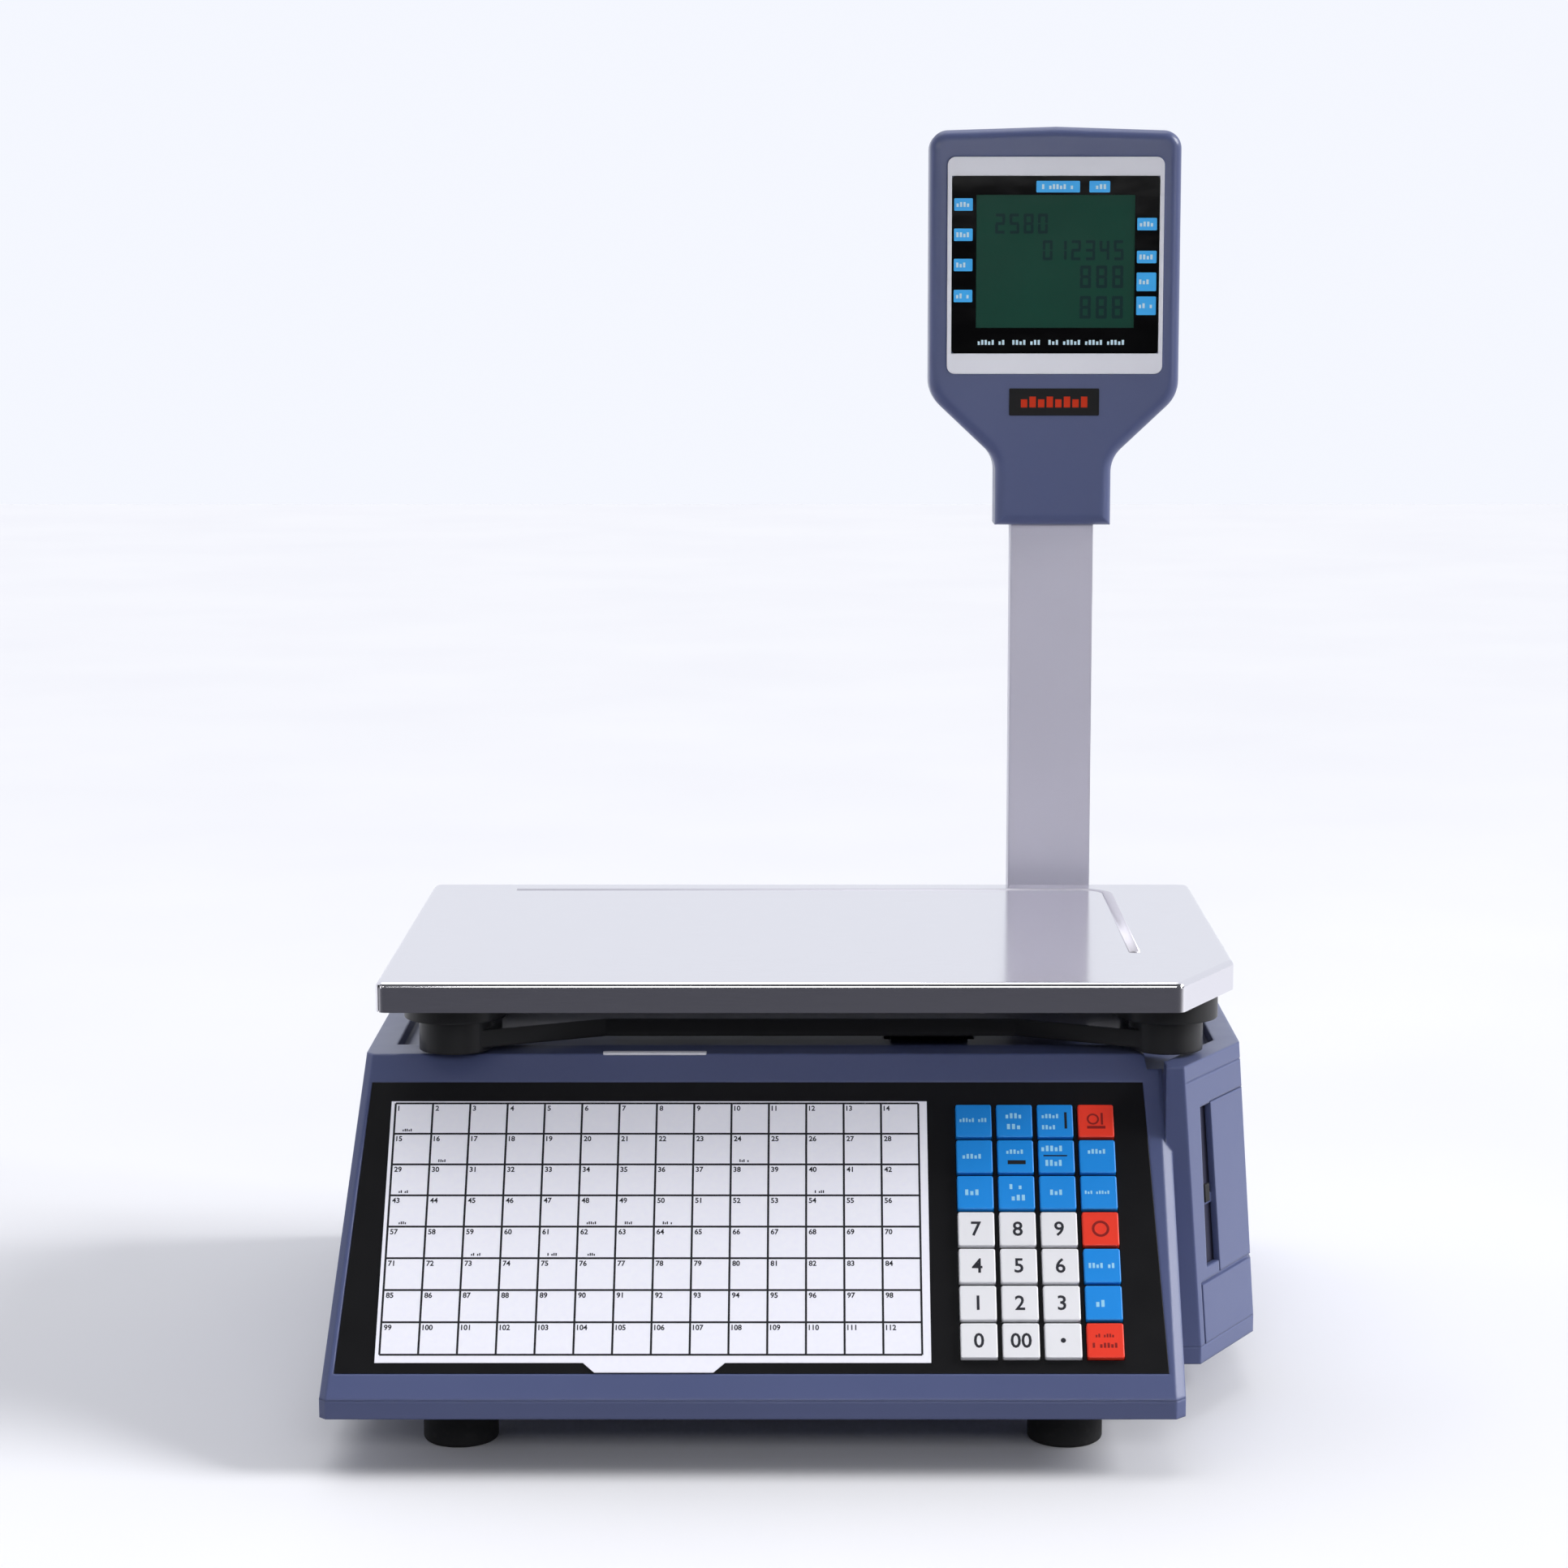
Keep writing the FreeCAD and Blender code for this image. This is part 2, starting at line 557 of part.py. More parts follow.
def hinge_sketch(body, height="0"):
    """A sketch square to the hinge axis, that far up the axis from the door's lower edge."""
    sketch = new_sketch(body, TOP)
    sketch.AttachmentOffset = FreeCAD.Placement(V(0, 0, 0), FreeCAD.Rotation(V(0, -1, 0), 1))
    tilt = "atan((Size.right_low - Size.right_high) / (Size.top_z - Size.parting_z))"
    x, y = hinge_point("Size.door_z")
    sketch.setExpression("AttachmentOffset.Base.x", f"{x} - ({height}) * sin({tilt})")
    sketch.setExpression("AttachmentOffset.Base.y", y)
    sketch.setExpression("AttachmentOffset.Base.z", f"Size.door_z + ({height}) * cos({tilt})")
    sketch.setExpression("AttachmentOffset.Rotation.Angle", tilt)
    return sketch


def add_knuckle(body, low, high, start, end):
    """A knuckle round the hinge axis and the arm that carries it."""
    def arm(level):
        side = side_x(level)
        return [(f"{side} - Size.wall", start), (side, start), (side, end), (f"{side} - Size.wall", end)]
    lofted(body, arm, low, high)
    lofted_circle(body, hinge_point, "Size.knuckle_width", low, high)


def bore_hinge(body):
    """The bore for the hinge pin, through every knuckle of the body."""
    pocket(circles(hinge_sketch(body, "-0.5"), [("0", "0")], "Size.pin_width + 2 * Size.pin_gap"),
           "Size.door_top - Size.door_z + 1", backwards=True)


def cut_rear_openings(body):
    """The pole's hole in the rear deck, and the seat of the power entry in the rear wall."""
    wide, deep = "(Size.pole_wide / 2 + Size.hole_gap)", "(Size.pole_deep / 2 + Size.hole_gap)"
    pocket(rectangle(new_sketch(body, TOP, "Size.top_z + 1"),
                     f"Size.pole_x - {wide}", f"Size.pole_y - {deep}",
                     f"Size.pole_x + {wide}", f"Size.pole_y + {deep}"), "8")
    seat = entry_rectangle(body, "Size.back_low + 1", "0.1")
    pocket(seat, "Size.back_low + 1 - Size.entry_y", backwards=True)
    pocket(entry_rectangle(body, "Size.entry_y", "-2"), "4", backwards=True)


def entry_rectangle(body, y, grow):
    """The power entry's outline, drawn on a plane that far back."""
    sketch = new_sketch(body, FRONT, f"-({y})")
    return rectangle(sketch, f"Size.entry_x - Size.entry_half_wide - ({grow})",
                     f"Size.entry_z - Size.entry_half_high - ({grow})",
                     f"Size.entry_x + Size.entry_half_wide + ({grow})",
                     f"Size.entry_z + Size.entry_half_high + ({grow})")


# ---------------------------------------------------------------- feet and screws

def foot(name):
    """A rubber foot on a threaded stem that screws into the tub."""
    body = new_body(name, (*FOOT_PLACES[name], "0"))
    pad(circles(new_sketch(body, TOP), [("0", "0")], "Size.foot_width"), "Size.base_z - Size.foot_gap")
    dress(body, "Fillet", edges(body, lambda e: is_level(e, 2, 0)), "Size.foot_round")
    pad(circles(new_sketch(body, TOP, "Size.base_z - Size.foot_gap"), [("0", "0")], "Size.stem_width"),
        "Size.stem_high")
    return body


def housing_screws():
    """Six identical self-tapping screws that hold the cover to the tub."""
    body = new_body("housing_screws")
    head = f"{TUB_FLOOR} - Size.screw_head_high"
    pad(circles(new_sketch(body, TOP, head), SCREW_PLACES, "Size.screw_head"), "Size.screw_head_high")
    pad(circles(new_sketch(body, TOP, TUB_FLOOR), SCREW_PLACES, "Size.screw_width"), "Size.screw_long")
    return body


# ---------------------------------------------------------------- weighing parts

def centred_box(body, x, y, z, wide, deep, high):
    """A pad of a rectangle centred on x and y, standing on the level z."""
    sketch = rectangle(new_sketch(body, TOP, z), f"{x} - {wide} / 2", f"{y} - {deep} / 2",
                       f"{x} + {wide} / 2", f"{y} + {deep} / 2")
    return pad(sketch, high)


def load_cell():
    """A single point load cell: an aluminium beam thinned by two joined bores."""
    body = new_body("load_cell")
    centred_box(body, "Size.tray_x", "Size.tray_y", "Size.cell_z", "Size.cell_long", "Size.cell_wide",
                "Size.cell_high")
    middle = "Size.cell_z + Size.cell_high / 2"
    behind = "Size.cell_wide / 2 - Size.tray_y + 1"
    holes = [(f"Size.tray_x + {side} * Size.cell_bore_x", middle) for side in (-1, 1)]
    pocket(circles(new_sketch(body, FRONT, behind), holes, "Size.cell_bore"), "Size.cell_wide + 2")
    slit = rectangle(new_sketch(body, FRONT, behind), "Size.tray_x - Size.cell_bore_x", f"{middle} - 3",
                     "Size.tray_x + Size.cell_bore_x", f"{middle} + 3")
    pocket(slit, "Size.cell_wide + 2")
    return body


def post_place(side, end):
    """Middle of one of the four corner posts, to the left or right and at the front or back."""
    return (f"Size.tray_x + {side} * Size.post_x", f"Size.tray_y + {end} * Size.post_y")


CORNERS = [(side, end) for side in (-1, 1) for end in (-1, 1)]
POSTS = [post_place(*corner) for corner in CORNERS]


def tray_spider():
    """The black casting under the tray: a plate and four arms with capped posts, on a column."""
    body = new_body("tray_spider")
    cell_top = "Size.cell_z + Size.cell_high + Size.cell_gap"
    centred_box(body, COLUMN_X, "Size.tray_y", cell_top, "Size.column_side", "Size.column_side",
                f"Size.arm_z - ({cell_top})")
    pad(rectangle(new_sketch(body, TOP, "Size.arm_z"),
                  "Size.tray_x - Size.hub_left", "Size.tray_y - Size.hub_half_deep",
                  "Size.tray_x + Size.hub_right", "Size.tray_y + Size.hub_half_deep"), "Size.arm_thick")
    reach = "sqrt(Size.post_x ^ 2 + Size.post_y ^ 2)"
    for side, end in CORNERS:
        x, y = post_place(side, end)
        across_x = f"{-end} * Size.post_y / {reach} * Size.arm_width / 2"
        across_y = f"{side} * Size.post_x / {reach} * Size.arm_width / 2"
        arm = [
            (f"Size.tray_x + {across_x}", f"Size.tray_y + {across_y}"),
            (f"{x} + {across_x}", f"{y} + {across_y}"),
            (f"{x} - {across_x}", f"{y} - {across_y}"),
            (f"Size.tray_x - {across_x}", f"Size.tray_y - {across_y}"),
        ]
        pad(outline(new_sketch(body, TOP, "Size.arm_z"), arm), "Size.arm_thick")
    pad(circles(new_sketch(body, TOP, "Size.post_z"), POSTS, "Size.post_width"), "Size.cap_z - Size.post_z")
    pad(circles(new_sketch(body, TOP, "Size.cap_z"), POSTS, "Size.cap_width"), "Size.cap_high")
    return body


def tray_pads():
    """Four rubber pads on the posts, which the tray rests on."""
    body = new_body("tray_pads")
    level = "Size.cap_z + Size.cap_high"
    pad(circles(new_sketch(body, TOP, level), POSTS, "Size.pad_width"),
        f"Size.tray_top - Size.sheet - Size.pad_gap - ({level})")
    return body


def tray_outline(inset):
    """The tray's outline, with its front right corner cut off."""
    left, right = "Size.tray_x - Size.tray_half_width", "Size.tray_x + Size.tray_half_width"
    front, back = "Size.tray_y - Size.tray_half_depth", "Size.tray_y + Size.tray_half_depth"
    cut = "atan(Size.tray_cut_y / Size.tray_cut_x)"
    low_shift = f"({inset}) * tan({cut} / 2)"
    high_shift = f"({inset}) * tan((90 * 1 deg - {cut}) / 2)"
    return [
        (f"{left} + {inset}", f"{front} + {inset}"),
        (f"{right} - Size.tray_cut_x - {low_shift}", f"{front} + {inset}"),
        (f"{right} - {inset}", f"{front} + Size.tray_cut_y + {high_shift}"),
        (f"{right} - {inset}", f"{back} - {inset}"),
        (f"{left} + {inset}", f"{back} - {inset}"),
    ]


def tray():
    """The stainless platter: a pan of pressed sheet with a turned-down rim."""
    body = new_body("tray")
    pad(outline(new_sketch(body, TOP, "Size.tray_top - Size.tray_rim"), tray_outline("0")), "Size.tray_rim")
    dress(body, "Fillet", edges(body, lambda e: is_along(e, V(0, 0, 1))), "Size.tray_corner")
    top = max(v.Point.z for v in body.Tip.Shape.Vertexes)
    dress(body, "Fillet", edges(body, lambda e: is_level(e, 2, top)), "Size.tray_edge")
    level = "Size.tray_top - Size.tray_rim"
    pocket(outline(new_sketch(body, TOP, level), tray_outline("Size.sheet")), "Size.tray_rim - Size.sheet",
           backwards=True)
    under = top - float(body.evalExpression("Size.sheet"))
    inner = edges(body, lambda e: is_along(e, V(0, 0, 1)) and
                  max(v.Point.z for v in e.Vertexes) > under - 0.01)
    dress(body, "Fillet", inner, "Size.tray_corner - Size.sheet")
    return body


# ---------------------------------------------------------------- panel, card and keys

def panel_place(x, along, out="0"):
    """A place on the panel: across, up the slope from its foot, and outwards."""
    return (
        x, f"-Size.front_low + ({along}) * cos{SLOPE} - ({out}) * sin{SLOPE}",
        f"Size.parting_z + ({along}) * sin{SLOPE} + ({out}) * cos{SLOPE}",
    )


def panel_body(name, x="0", along="0", out="0"):
    """A body whose frame lies on the panel: x across, y up the slope, z outwards."""
    return new_body(name, panel_place(x, along, out), V(1, 0, 0), "Size.panel_angle")


def key_centre(column, row):
    return (
        f"Size.key_first_x + {column} * Size.key_pitch_x",
        f"Size.key_first_row + {row} * Size.key_pitch_row",
    )


def key_squares(sketch, side):
    """A square for each key position."""
    for row in range(len(KEY_ROWS)):
        for column in range(len(KEY_ROWS[row])):
            x, y = key_centre(column, row)
            rectangle(sketch, f"{x} - {side} / 2", f"{y} - {side} / 2",
                      f"{x} + {side} / 2", f"{y} + {side} / 2")
    return sketch


def keypad_fascia():
    """The black plate round the keys and under the card."""
    body = panel_body("keypad_fascia")
    seat = new_sketch(body, TOP, "-Size.fascia_sunk")
    pad(outline(seat, fascia_outline("0")), "Size.fascia_thick")
    holes = new_sketch(body, TOP, "Size.fascia_thick")
    pocket(key_squares(holes, "(Size.key_side + 2 * Size.key_gap)"), "2 * Size.fascia_thick")
    return body


def preset_key_card():
    """The printed card with its pull tab at the foot."""
    body = panel_body("preset_key_card", out="Size.fascia_thick - Size.fascia_sunk")
    card = [
        ("-Size.card_left", "Size.card_foot"), ("-Size.tab_left", "Size.card_foot"),
        ("-Size.tab_left + Size.tab_slant", "Size.tab_foot"),
        ("-Size.tab_right - Size.tab_slant", "Size.tab_foot"), ("-Size.tab_right", "Size.card_foot"),
        ("Size.card_right", "Size.card_foot"), ("Size.card_right", "Size.card_head"),
        ("-Size.card_left", "Size.card_head"),
    ]
    pad(outline(new_sketch(body, TOP), card), "Size.card_thick")
    return body


def keypad_board():
    """The circuit board behind the fascia, with a contact dome under each key."""
    body = panel_body("keypad_board", out="-Size.board_depth")
    board = rectangle(new_sketch(body, TOP), "-Size.card_left", "Size.fascia_foot + Size.ledge + 1",
                      "Size.fascia_right_high - Size.ledge - 4", "Size.fascia_head - Size.ledge - 2")
    pad(board, "Size.board_thick", backwards=True)
    return body


def key(name, column, row):
    """A key cap with a flange that keeps it behind the fascia."""
    body = panel_body(name, *key_centre(column, row))
    half = "Size.key_flange_side / 2"
    flange_top = "-Size.fascia_sunk - Size.key_flange_drop"
    cap_half = "Size.key_side / 2"
    cap = rectangle(new_sketch(body, TOP, flange_top), f"-{cap_half}", f"-{cap_half}", cap_half, cap_half)
    pad(cap, f"Size.key_high - ({flange_top})")
    dress(body, "Fillet", edges(body, lambda e: is_along(e, V(0, 0, 1))), "Size.key_round")
    top = max(v.Point.z for v in body.Tip.Shape.Vertexes)
    dress(body, "Fillet", edges(body, lambda e: is_level(e, 2, top)), "Size.key_edge")
    flange = rectangle(new_sketch(body, TOP, flange_top), f"-{half}", f"-{half}", half, half)
    pad(flange, "Size.key_flange_thick", backwards=True)
    return body


# ---------------------------------------------------------------- printer

def bay_body(name, along="0", inwards="0"):
    """A body in the chamfer's frame: x along the chamfer from the nose, y inwards, z up from the table."""
    place = (
        f"Size.nose_low + {along} * cos{CHAMFER} - {inwards} * sin{CHAMFER}",
        f"-Size.bay_front + {along} * sin{CHAMFER} + {inwards} * cos{CHAMFER}", "0",
    )
    return new_body(name, place, V(0, 0, 1), "Size.chamfer_angle")


def chamfer_strip(start, end, outer, inner):
    """A block that follows the leaning chamfer."""
    def at(level):
        return [chamfer_point(level, start, outer), chamfer_point(level, end, outer),
                chamfer_point(level, end, inner), chamfer_point(level, start, inner)]
    return at


def leaning_strip(start, end, outer, inner):
    """The same block, for a body that sits in the chamfer's own frame."""
    def at(level):
        shift = f"({nose_x(level)} - Size.nose_low)"
        left, right = (f"{edge} + {shift} * cos{CHAMFER}" for edge in (start, end))
        near, far = (f"{face} - {shift} * sin{CHAMFER}" for face in (outer, inner))
        return [(left, near), (right, near), (right, far), (left, far)]
    return at


def printer_door():
    """The bent door, with two hinge knuckles and a lip for the latch."""
    body = new_body("printer_door")
    panel = door_outline("0", "Size.wall", "Size.door_start", "Size.door_back")
    lofted(body, panel, "Size.door_z", "Size.door_top")
    lip = chamfer_strip("Size.door_start - Size.lip_long", "Size.door_start + 1",
                        "Size.lip_sunk", "Size.lip_sunk + Size.lip_thick")
    lofted(body, lip, "Size.latch_z - Size.lip_below", "Size.latch_z + Size.lip_lap")
    for number in (1, 3):
        low, high = knuckle_levels(number)
        add_knuckle(body, low, high, "Size.door_back - 1", "Size.hinge_y")
    bore_hinge(body)
    return body


def door_hinge_pin():
    """The steel pin that all five knuckles share."""
    body = new_body("door_hinge_pin")
    pad(circles(hinge_sketch(body), [("0", "0")], "Size.pin_width"), "Size.door_top - Size.door_z")
    return body


STEM_START = "(Size.latch_start + Size.stem_inset)"
STEM_END = f"({STEM_START} + Size.stem_wide)"
STEM_LOW = "(Size.latch_z + Size.stem_low)"
STEM_HIGH = f"({STEM_LOW} + Size.stem_tall)"
STRIP_BACK = "(Size.strip_sunk + Size.strip_thick)"


def door_latch():
    """A small slide in the label slot. Its plate laps over the door's lip until it is pushed up."""
    body = new_body("door_latch")
    plate = chamfer_strip("Size.latch_start", "Size.latch_start + Size.latch_long",
                          "Size.latch_sunk", "Size.latch_sunk + Size.latch_thick")
    lofted(body, plate, "Size.latch_z", "Size.latch_z + Size.latch_high")
    foot_front = f"{STRIP_BACK} + Size.guide_play"
    stem = chamfer_strip(STEM_START, STEM_END, "Size.latch_sunk + Size.latch_thick / 2", f"{foot_front} + 0.5")
    lofted(body, stem, STEM_LOW, STEM_HIGH)
    foot = chamfer_strip("Size.latch_start", f"{STEM_END} + Size.stem_inset", foot_front, f"{foot_front} + 1")
    lofted(body, foot, f"{STEM_LOW} - 0.5", f"{STEM_HIGH} + 0.5")
    return body


def latch_guide(body, low):
    """The strip behind the door's free edge, with the latch's slot, and the web that carries it."""
    high = "Size.door_top + Size.door_gap"
    strip = leaning_strip("Size.strip_start", "Size.strip_end", "Size.strip_sunk", STRIP_BACK)
    lofted(body, strip, low, high)
    tab = leaning_strip("Size.tab_start", "Size.strip_start + 1", "Size.strip_sunk", STRIP_BACK)
    lofted(body, tab, "Size.latch_z", f"{STEM_HIGH} + Size.latch_travel + 2")
    web = leaning_strip("Size.strip_end - Size.web_wide", "Size.strip_end", "Size.strip_sunk", "Size.web_deep")
    lofted(body, web, low, "Size.bracket_z - Size.chassis_thick")
    play = "Size.guide_play"
    slot = leaning_strip(f"{STEM_START} - {play}", f"{STEM_END} + {play}",
                         "Size.strip_sunk - 0.5", f"{STRIP_BACK} + 0.5")
    lofted(body, slot, f"{STEM_LOW} - {play}", f"{STEM_HIGH} + Size.latch_travel + {play}", "SubtractiveLoft")


def printer_chassis():
    """Floor plate on four legs, the platen's bracket, and the guide of the door latch."""
    body = bay_body("printer_chassis")
    plate = [("3", "12"), ("52", "12"), ("120", "52"), ("120", "110"), ("60", "118"), ("22", "75"),
             ("4", "26"), ("5", "17")]
    pad(outline(new_sketch(body, TOP, "Size.chassis_z"), plate), "Size.chassis_thick")
    legs = [("24", "20"), ("112", "60"), ("108", "102"), ("55", "100")]
    pad(circles(new_sketch(body, TOP, TUB_FLOOR), legs, "10"), f"Size.chassis_z - ({TUB_FLOOR})")
    floor_top = "Size.chassis_z + Size.chassis_thick"
    pad(rectangle(new_sketch(body, TOP, floor_top), "34", "12", "37", "32"), f"Size.bracket_z - ({floor_top})")
    top = [("2", "12"), ("37", "12"), ("37", "32"), ("20.1", "26.9")]
    pad(outline(new_sketch(body, TOP, "Size.bracket_z - Size.chassis_thick"), top), "Size.chassis_thick")
    latch_guide(body, floor_top)
    shaft = circles(new_sketch(body, TOP, "Size.bracket_z"), [("Size.platen_x", "Size.platen_y")],
                    "Size.shaft_width + 2 * Size.shaft_gap")
    pocket(shaft, "Size.bracket_z - Size.chassis_z")
    return body


def print_head():
    """The thermal head: a ceramic strip on a finned block."""
    body = bay_body("print_head")
    face = "Size.platen_x - Size.platen_width / 2 - 0.2"
    back = f"{face} - Size.head_block"
    floor_top = "Size.chassis_z + Size.chassis_thick"
    pad(rectangle(new_sketch(body, TOP, floor_top), back, "12", face, "24"),
        f"Size.platen_z + Size.platen_high - ({floor_top})")
    for fin in range(8):
        low = f"Size.platen_z + {fin} * 8"
        pocket(rectangle(new_sketch(body, FRONT, "-24"), back, low, f"{face} - 2", f"{low} + 4"), "5",
               backwards=True)
    return body


def platen_roller():
    """The rubber roller on its steel shaft, turned about its own axis."""
    body = bay_body("platen_roller", "Size.platen_x", "Size.platen_y")
    shaft, rubber = "Size.shaft_width / 2", "Size.platen_width / 2"
    profile = [
        ("0", "Size.chassis_z + 0.5"), (shaft, "Size.chassis_z + 0.5"),
        (shaft, "Size.platen_z"), (rubber, "Size.platen_z"),
        (rubber, "Size.platen_z + Size.platen_high"), (shaft, "Size.platen_z + Size.platen_high"),
        (shaft, "Size.bracket_z - 0.5"), ("0", "Size.bracket_z - 0.5"),
    ]
    turned(outline(new_sketch(body, FRONT), profile))
    return body


def label_roll():
    """A full roll of labels on its core."""
    body = bay_body("label_roll")
    place = [("Size.roll_x", "Size.roll_y")]
    pad(circles(new_sketch(body, TOP, "Size.roll_z"), place, "Size.roll_width"), "Size.roll_high")
    pocket(circles(new_sketch(body, TOP, "Size.roll_z + Size.roll_high"), place, "Size.core_width"),
           "Size.roll_high")
    return body


def roll_spindle():
    """The flanged post that the roll turns on."""
    body = bay_body("roll_spindle")
    place = [("Size.roll_x", "Size.roll_y")]
    floor_top = "Size.chassis_z + Size.chassis_thick"
    pad(circles(new_sketch(body, TOP, floor_top), place, "60"), f"Size.roll_z - 0.2 - ({floor_top})")
    pad(circles(new_sketch(body, TOP, "Size.roll_z - 0.2"), place, "Size.core_width - 2 * Size.shaft_gap"),
        "Size.roll_high + 2")
    pocket(circles(new_sketch(body, TOP, "Size.roll_z + Size.roll_high + 1.8"), place, "Size.core_width - 6"),
           "Size.roll_high")
    return body


# ---------------------------------------------------------------- pole and display head

def pole():
    """The flat hollow pole."""
    body = new_body("pole", ("Size.pole_x", "Size.pole_y", "0"))
    wide, deep = "Size.pole_wide / 2", "Size.pole_deep / 2"
    pad(rectangle(new_sketch(body, TOP, "Size.pole_z"), f"-{wide}", f"-{deep}", wide, deep),
        "Size.pole_end - Size.pole_z")
    wide, deep = f"{wide} - Size.pole_wall", f"{deep} - Size.pole_wall"
    pocket(rectangle(new_sketch(body, TOP, "Size.pole_end"), f"-({wide})", f"-({deep})", wide, deep),
           "Size.pole_end - Size.pole_z")
    return body


def pole_bracket():
    """The socket under the rear deck that holds the foot of the pole."""
    body = new_body("pole_bracket", ("Size.pole_x", "Size.pole_y", "0"))
    pad(rectangle(new_sketch(body, TOP, "Size.pole_z - 4"), "-30", "-19", "30", "19"),
        "Size.deck_under_z - Size.pole_z + 4")
    wide, deep = "Size.pole_wide / 2 + Size.fit_gap", "Size.pole_deep / 2 + Size.fit_gap"
    pocket(rectangle(new_sketch(body, TOP, "Size.deck_under_z"), f"-({wide})", f"-({deep})", wide, deep),
           "Size.deck_under_z - Size.pole_z")
    return body


def head_outline(inset, floor):
    """The display head seen from the front: neck, flare, and a box with a faintly domed top."""
    shift = f"({inset}) * 0.433"
    neck, side = f"(Size.neck_half - ({inset}))", f"(Size.head_half - ({inset}))"
    flare, shoulder = f"Size.flare_z + {shift}", f"Size.shoulder_z + {shift}"
    top = f"Size.head_z - ({inset})"
    right = [(neck, floor), (neck, flare), (side, shoulder), (side, top)]
    left = [(f"-{x}", z) for x, z in reversed(right)]
    return right + [("0", f"{top} + Size.head_crown")] + left


def head_shell(name, angle):
    """Half of the display head. The rear half is the front half turned about the pole."""
    body = new_body(name, ("Size.pole_x", "Size.pole_y", "0"), V(0, 0, 1), angle)
    pad(outline(new_sketch(body, FRONT), head_outline("0", "Size.neck_z")), "Size.head_deep")
    number = {key: float(body.evalExpression(f"Size.{key}")) for key in
              ("flare_z", "shoulder_z", "head_z", "head_deep", "bezel_half", "pole_wide")}
    across = V(0, 1, 0)
    for level, radius in (("flare_z", "16"), ("shoulder_z", "18"), ("head_z", "9")):
        at_level = edges(body, lambda e: is_along(e, across) and is_level(e, 2, number[level]))
        dress(body, "Fillet", at_level, radius)
    dress(body, "Fillet", edges(body, lambda e: is_level(e, 1, -number["head_deep"])), "Size.head_edge")
    pocket(outline(new_sketch(body, FRONT), head_outline("Size.head_wall", "Size.neck_z + 6")),
           "Size.head_deep - Size.head_wall", backwards=True)
    seat = plate_rectangle(body, "Size.head_deep + 1", "Size.bezel_half + 0.1", "Size.bezel_z - 0.1",
                           "Size.bezel_top + 0.1")
    pocket(seat, "Size.bezel_thick - Size.bezel_proud + 1")
    seat_x = number["bezel_half"] + 0.1
    corners = edges(body, lambda e: is_along(e, across) and is_level(e, 0, seat_x)
                    or is_along(e, across) and is_level(e, 0, -seat_x))
    dress(body, "Fillet", corners, "Size.bezel_corner + 0.1")
    hole = plate_rectangle(body, "Size.head_deep + 1", "Size.window_half - 2", "Size.window_z + 2",
                           "Size.window_top - 2")
    pocket(hole, "Size.head_wall + 2")
    wide = "Size.pole_wide / 2 + Size.fit_gap"
    socket = rectangle(new_sketch(body, FRONT), f"-({wide})", "Size.neck_z - 1", wide, "Size.neck_z + 7")
    pocket(socket, "Size.pole_deep / 2 + Size.fit_gap", backwards=True)
    return body


def plate_rectangle(body, depth, half, low, high):
    """A rectangle facing the front of the head, that far out from its middle."""
    return rectangle(new_sketch(body, FRONT, depth), f"-({half})", low, half, high)


def paired_plates(name, size, start, thick, opening=None):
    """A plate on each face of the head, with an opening in each if one is given."""
    body = new_body(name, ("Size.pole_x", "Size.pole_y", "0"))
    for sign, backwards in (("", False), ("-", True)):
        pad(plate_rectangle(body, f"{sign}({start})", *size), thick, backwards)
    if opening is None:
        return body
    corners = edges(body, lambda e: is_along(e, V(0, 1, 0)))
    dress(body, "Fillet", corners, opening["corner"])
    for sign, backwards in (("", True), ("-", False)):
        pocket(plate_rectangle(body, f"{sign}({start})", *opening["size"]), thick, backwards)
    return body


SEAT_DEPTH = "Size.head_deep - Size.bezel_thick + Size.bezel_proud"
LCD_SIZE = ("Size.lcd_half", "Size.lcd_z", "Size.lcd_top")


def display_bezels():
    """The light frames round the two windows."""
    opening = {"corner": "Size.bezel_corner",
               "size": ("Size.window_half + 0.1", "Size.window_z - 0.1", "Size.window_top + 0.1")}
    size = ("Size.bezel_half", "Size.bezel_z", "Size.bezel_top")
    return paired_plates("display_bezels", size, SEAT_DEPTH, "Size.bezel_thick", opening)


def display_windows():
    """The black windows, each open over its liquid crystal panel."""
    opening = {"corner": "Size.bezel_corner - 2",
               "size": ("Size.lcd_half + 0.1", "Size.lcd_z - 0.1", "Size.lcd_top + 0.1")}
    size = ("Size.window_half", "Size.window_z", "Size.window_top")
    return paired_plates("display_windows", size, SEAT_DEPTH, "Size.window_thick", opening)


def display_panels():
    """The two liquid crystal panels."""
    start = f"{SEAT_DEPTH} + Size.window_thick - Size.lcd_sunk - Size.lcd_thick"
    return paired_plates("display_panels", LCD_SIZE, start, "Size.lcd_thick")


# ---------------------------------------------------------------- electronics and power

def main_board():
    """The controller board on its four posts, with its larger components."""
    body = new_body("main_board")
    level = f"{TUB_FLOOR} + 8"
    pad(rectangle(new_sketch(body, TOP, level), "-190", "-40", "-90", "100"), "Size.board_thick")
    parts = new_sketch(body, TOP, f"{level} + Size.board_thick")
    chips = ((-175, -20, 28, 28), (-140, -10, 14, 20), (-120, 20, 22, 30), (-170, 40, 36, 16))
    for left, low, wide, deep in chips:
        rectangle(parts, str(left), str(low), str(left + wide), str(low + deep))
    pad(parts, "5")
    return body


ROCKER_X = "(Size.entry_x + 14.5)"
ROCKER_AXIS = ("Size.entry_y - Size.rocker_depth", "Size.entry_z")
FLANGE_THICK = "1.3"


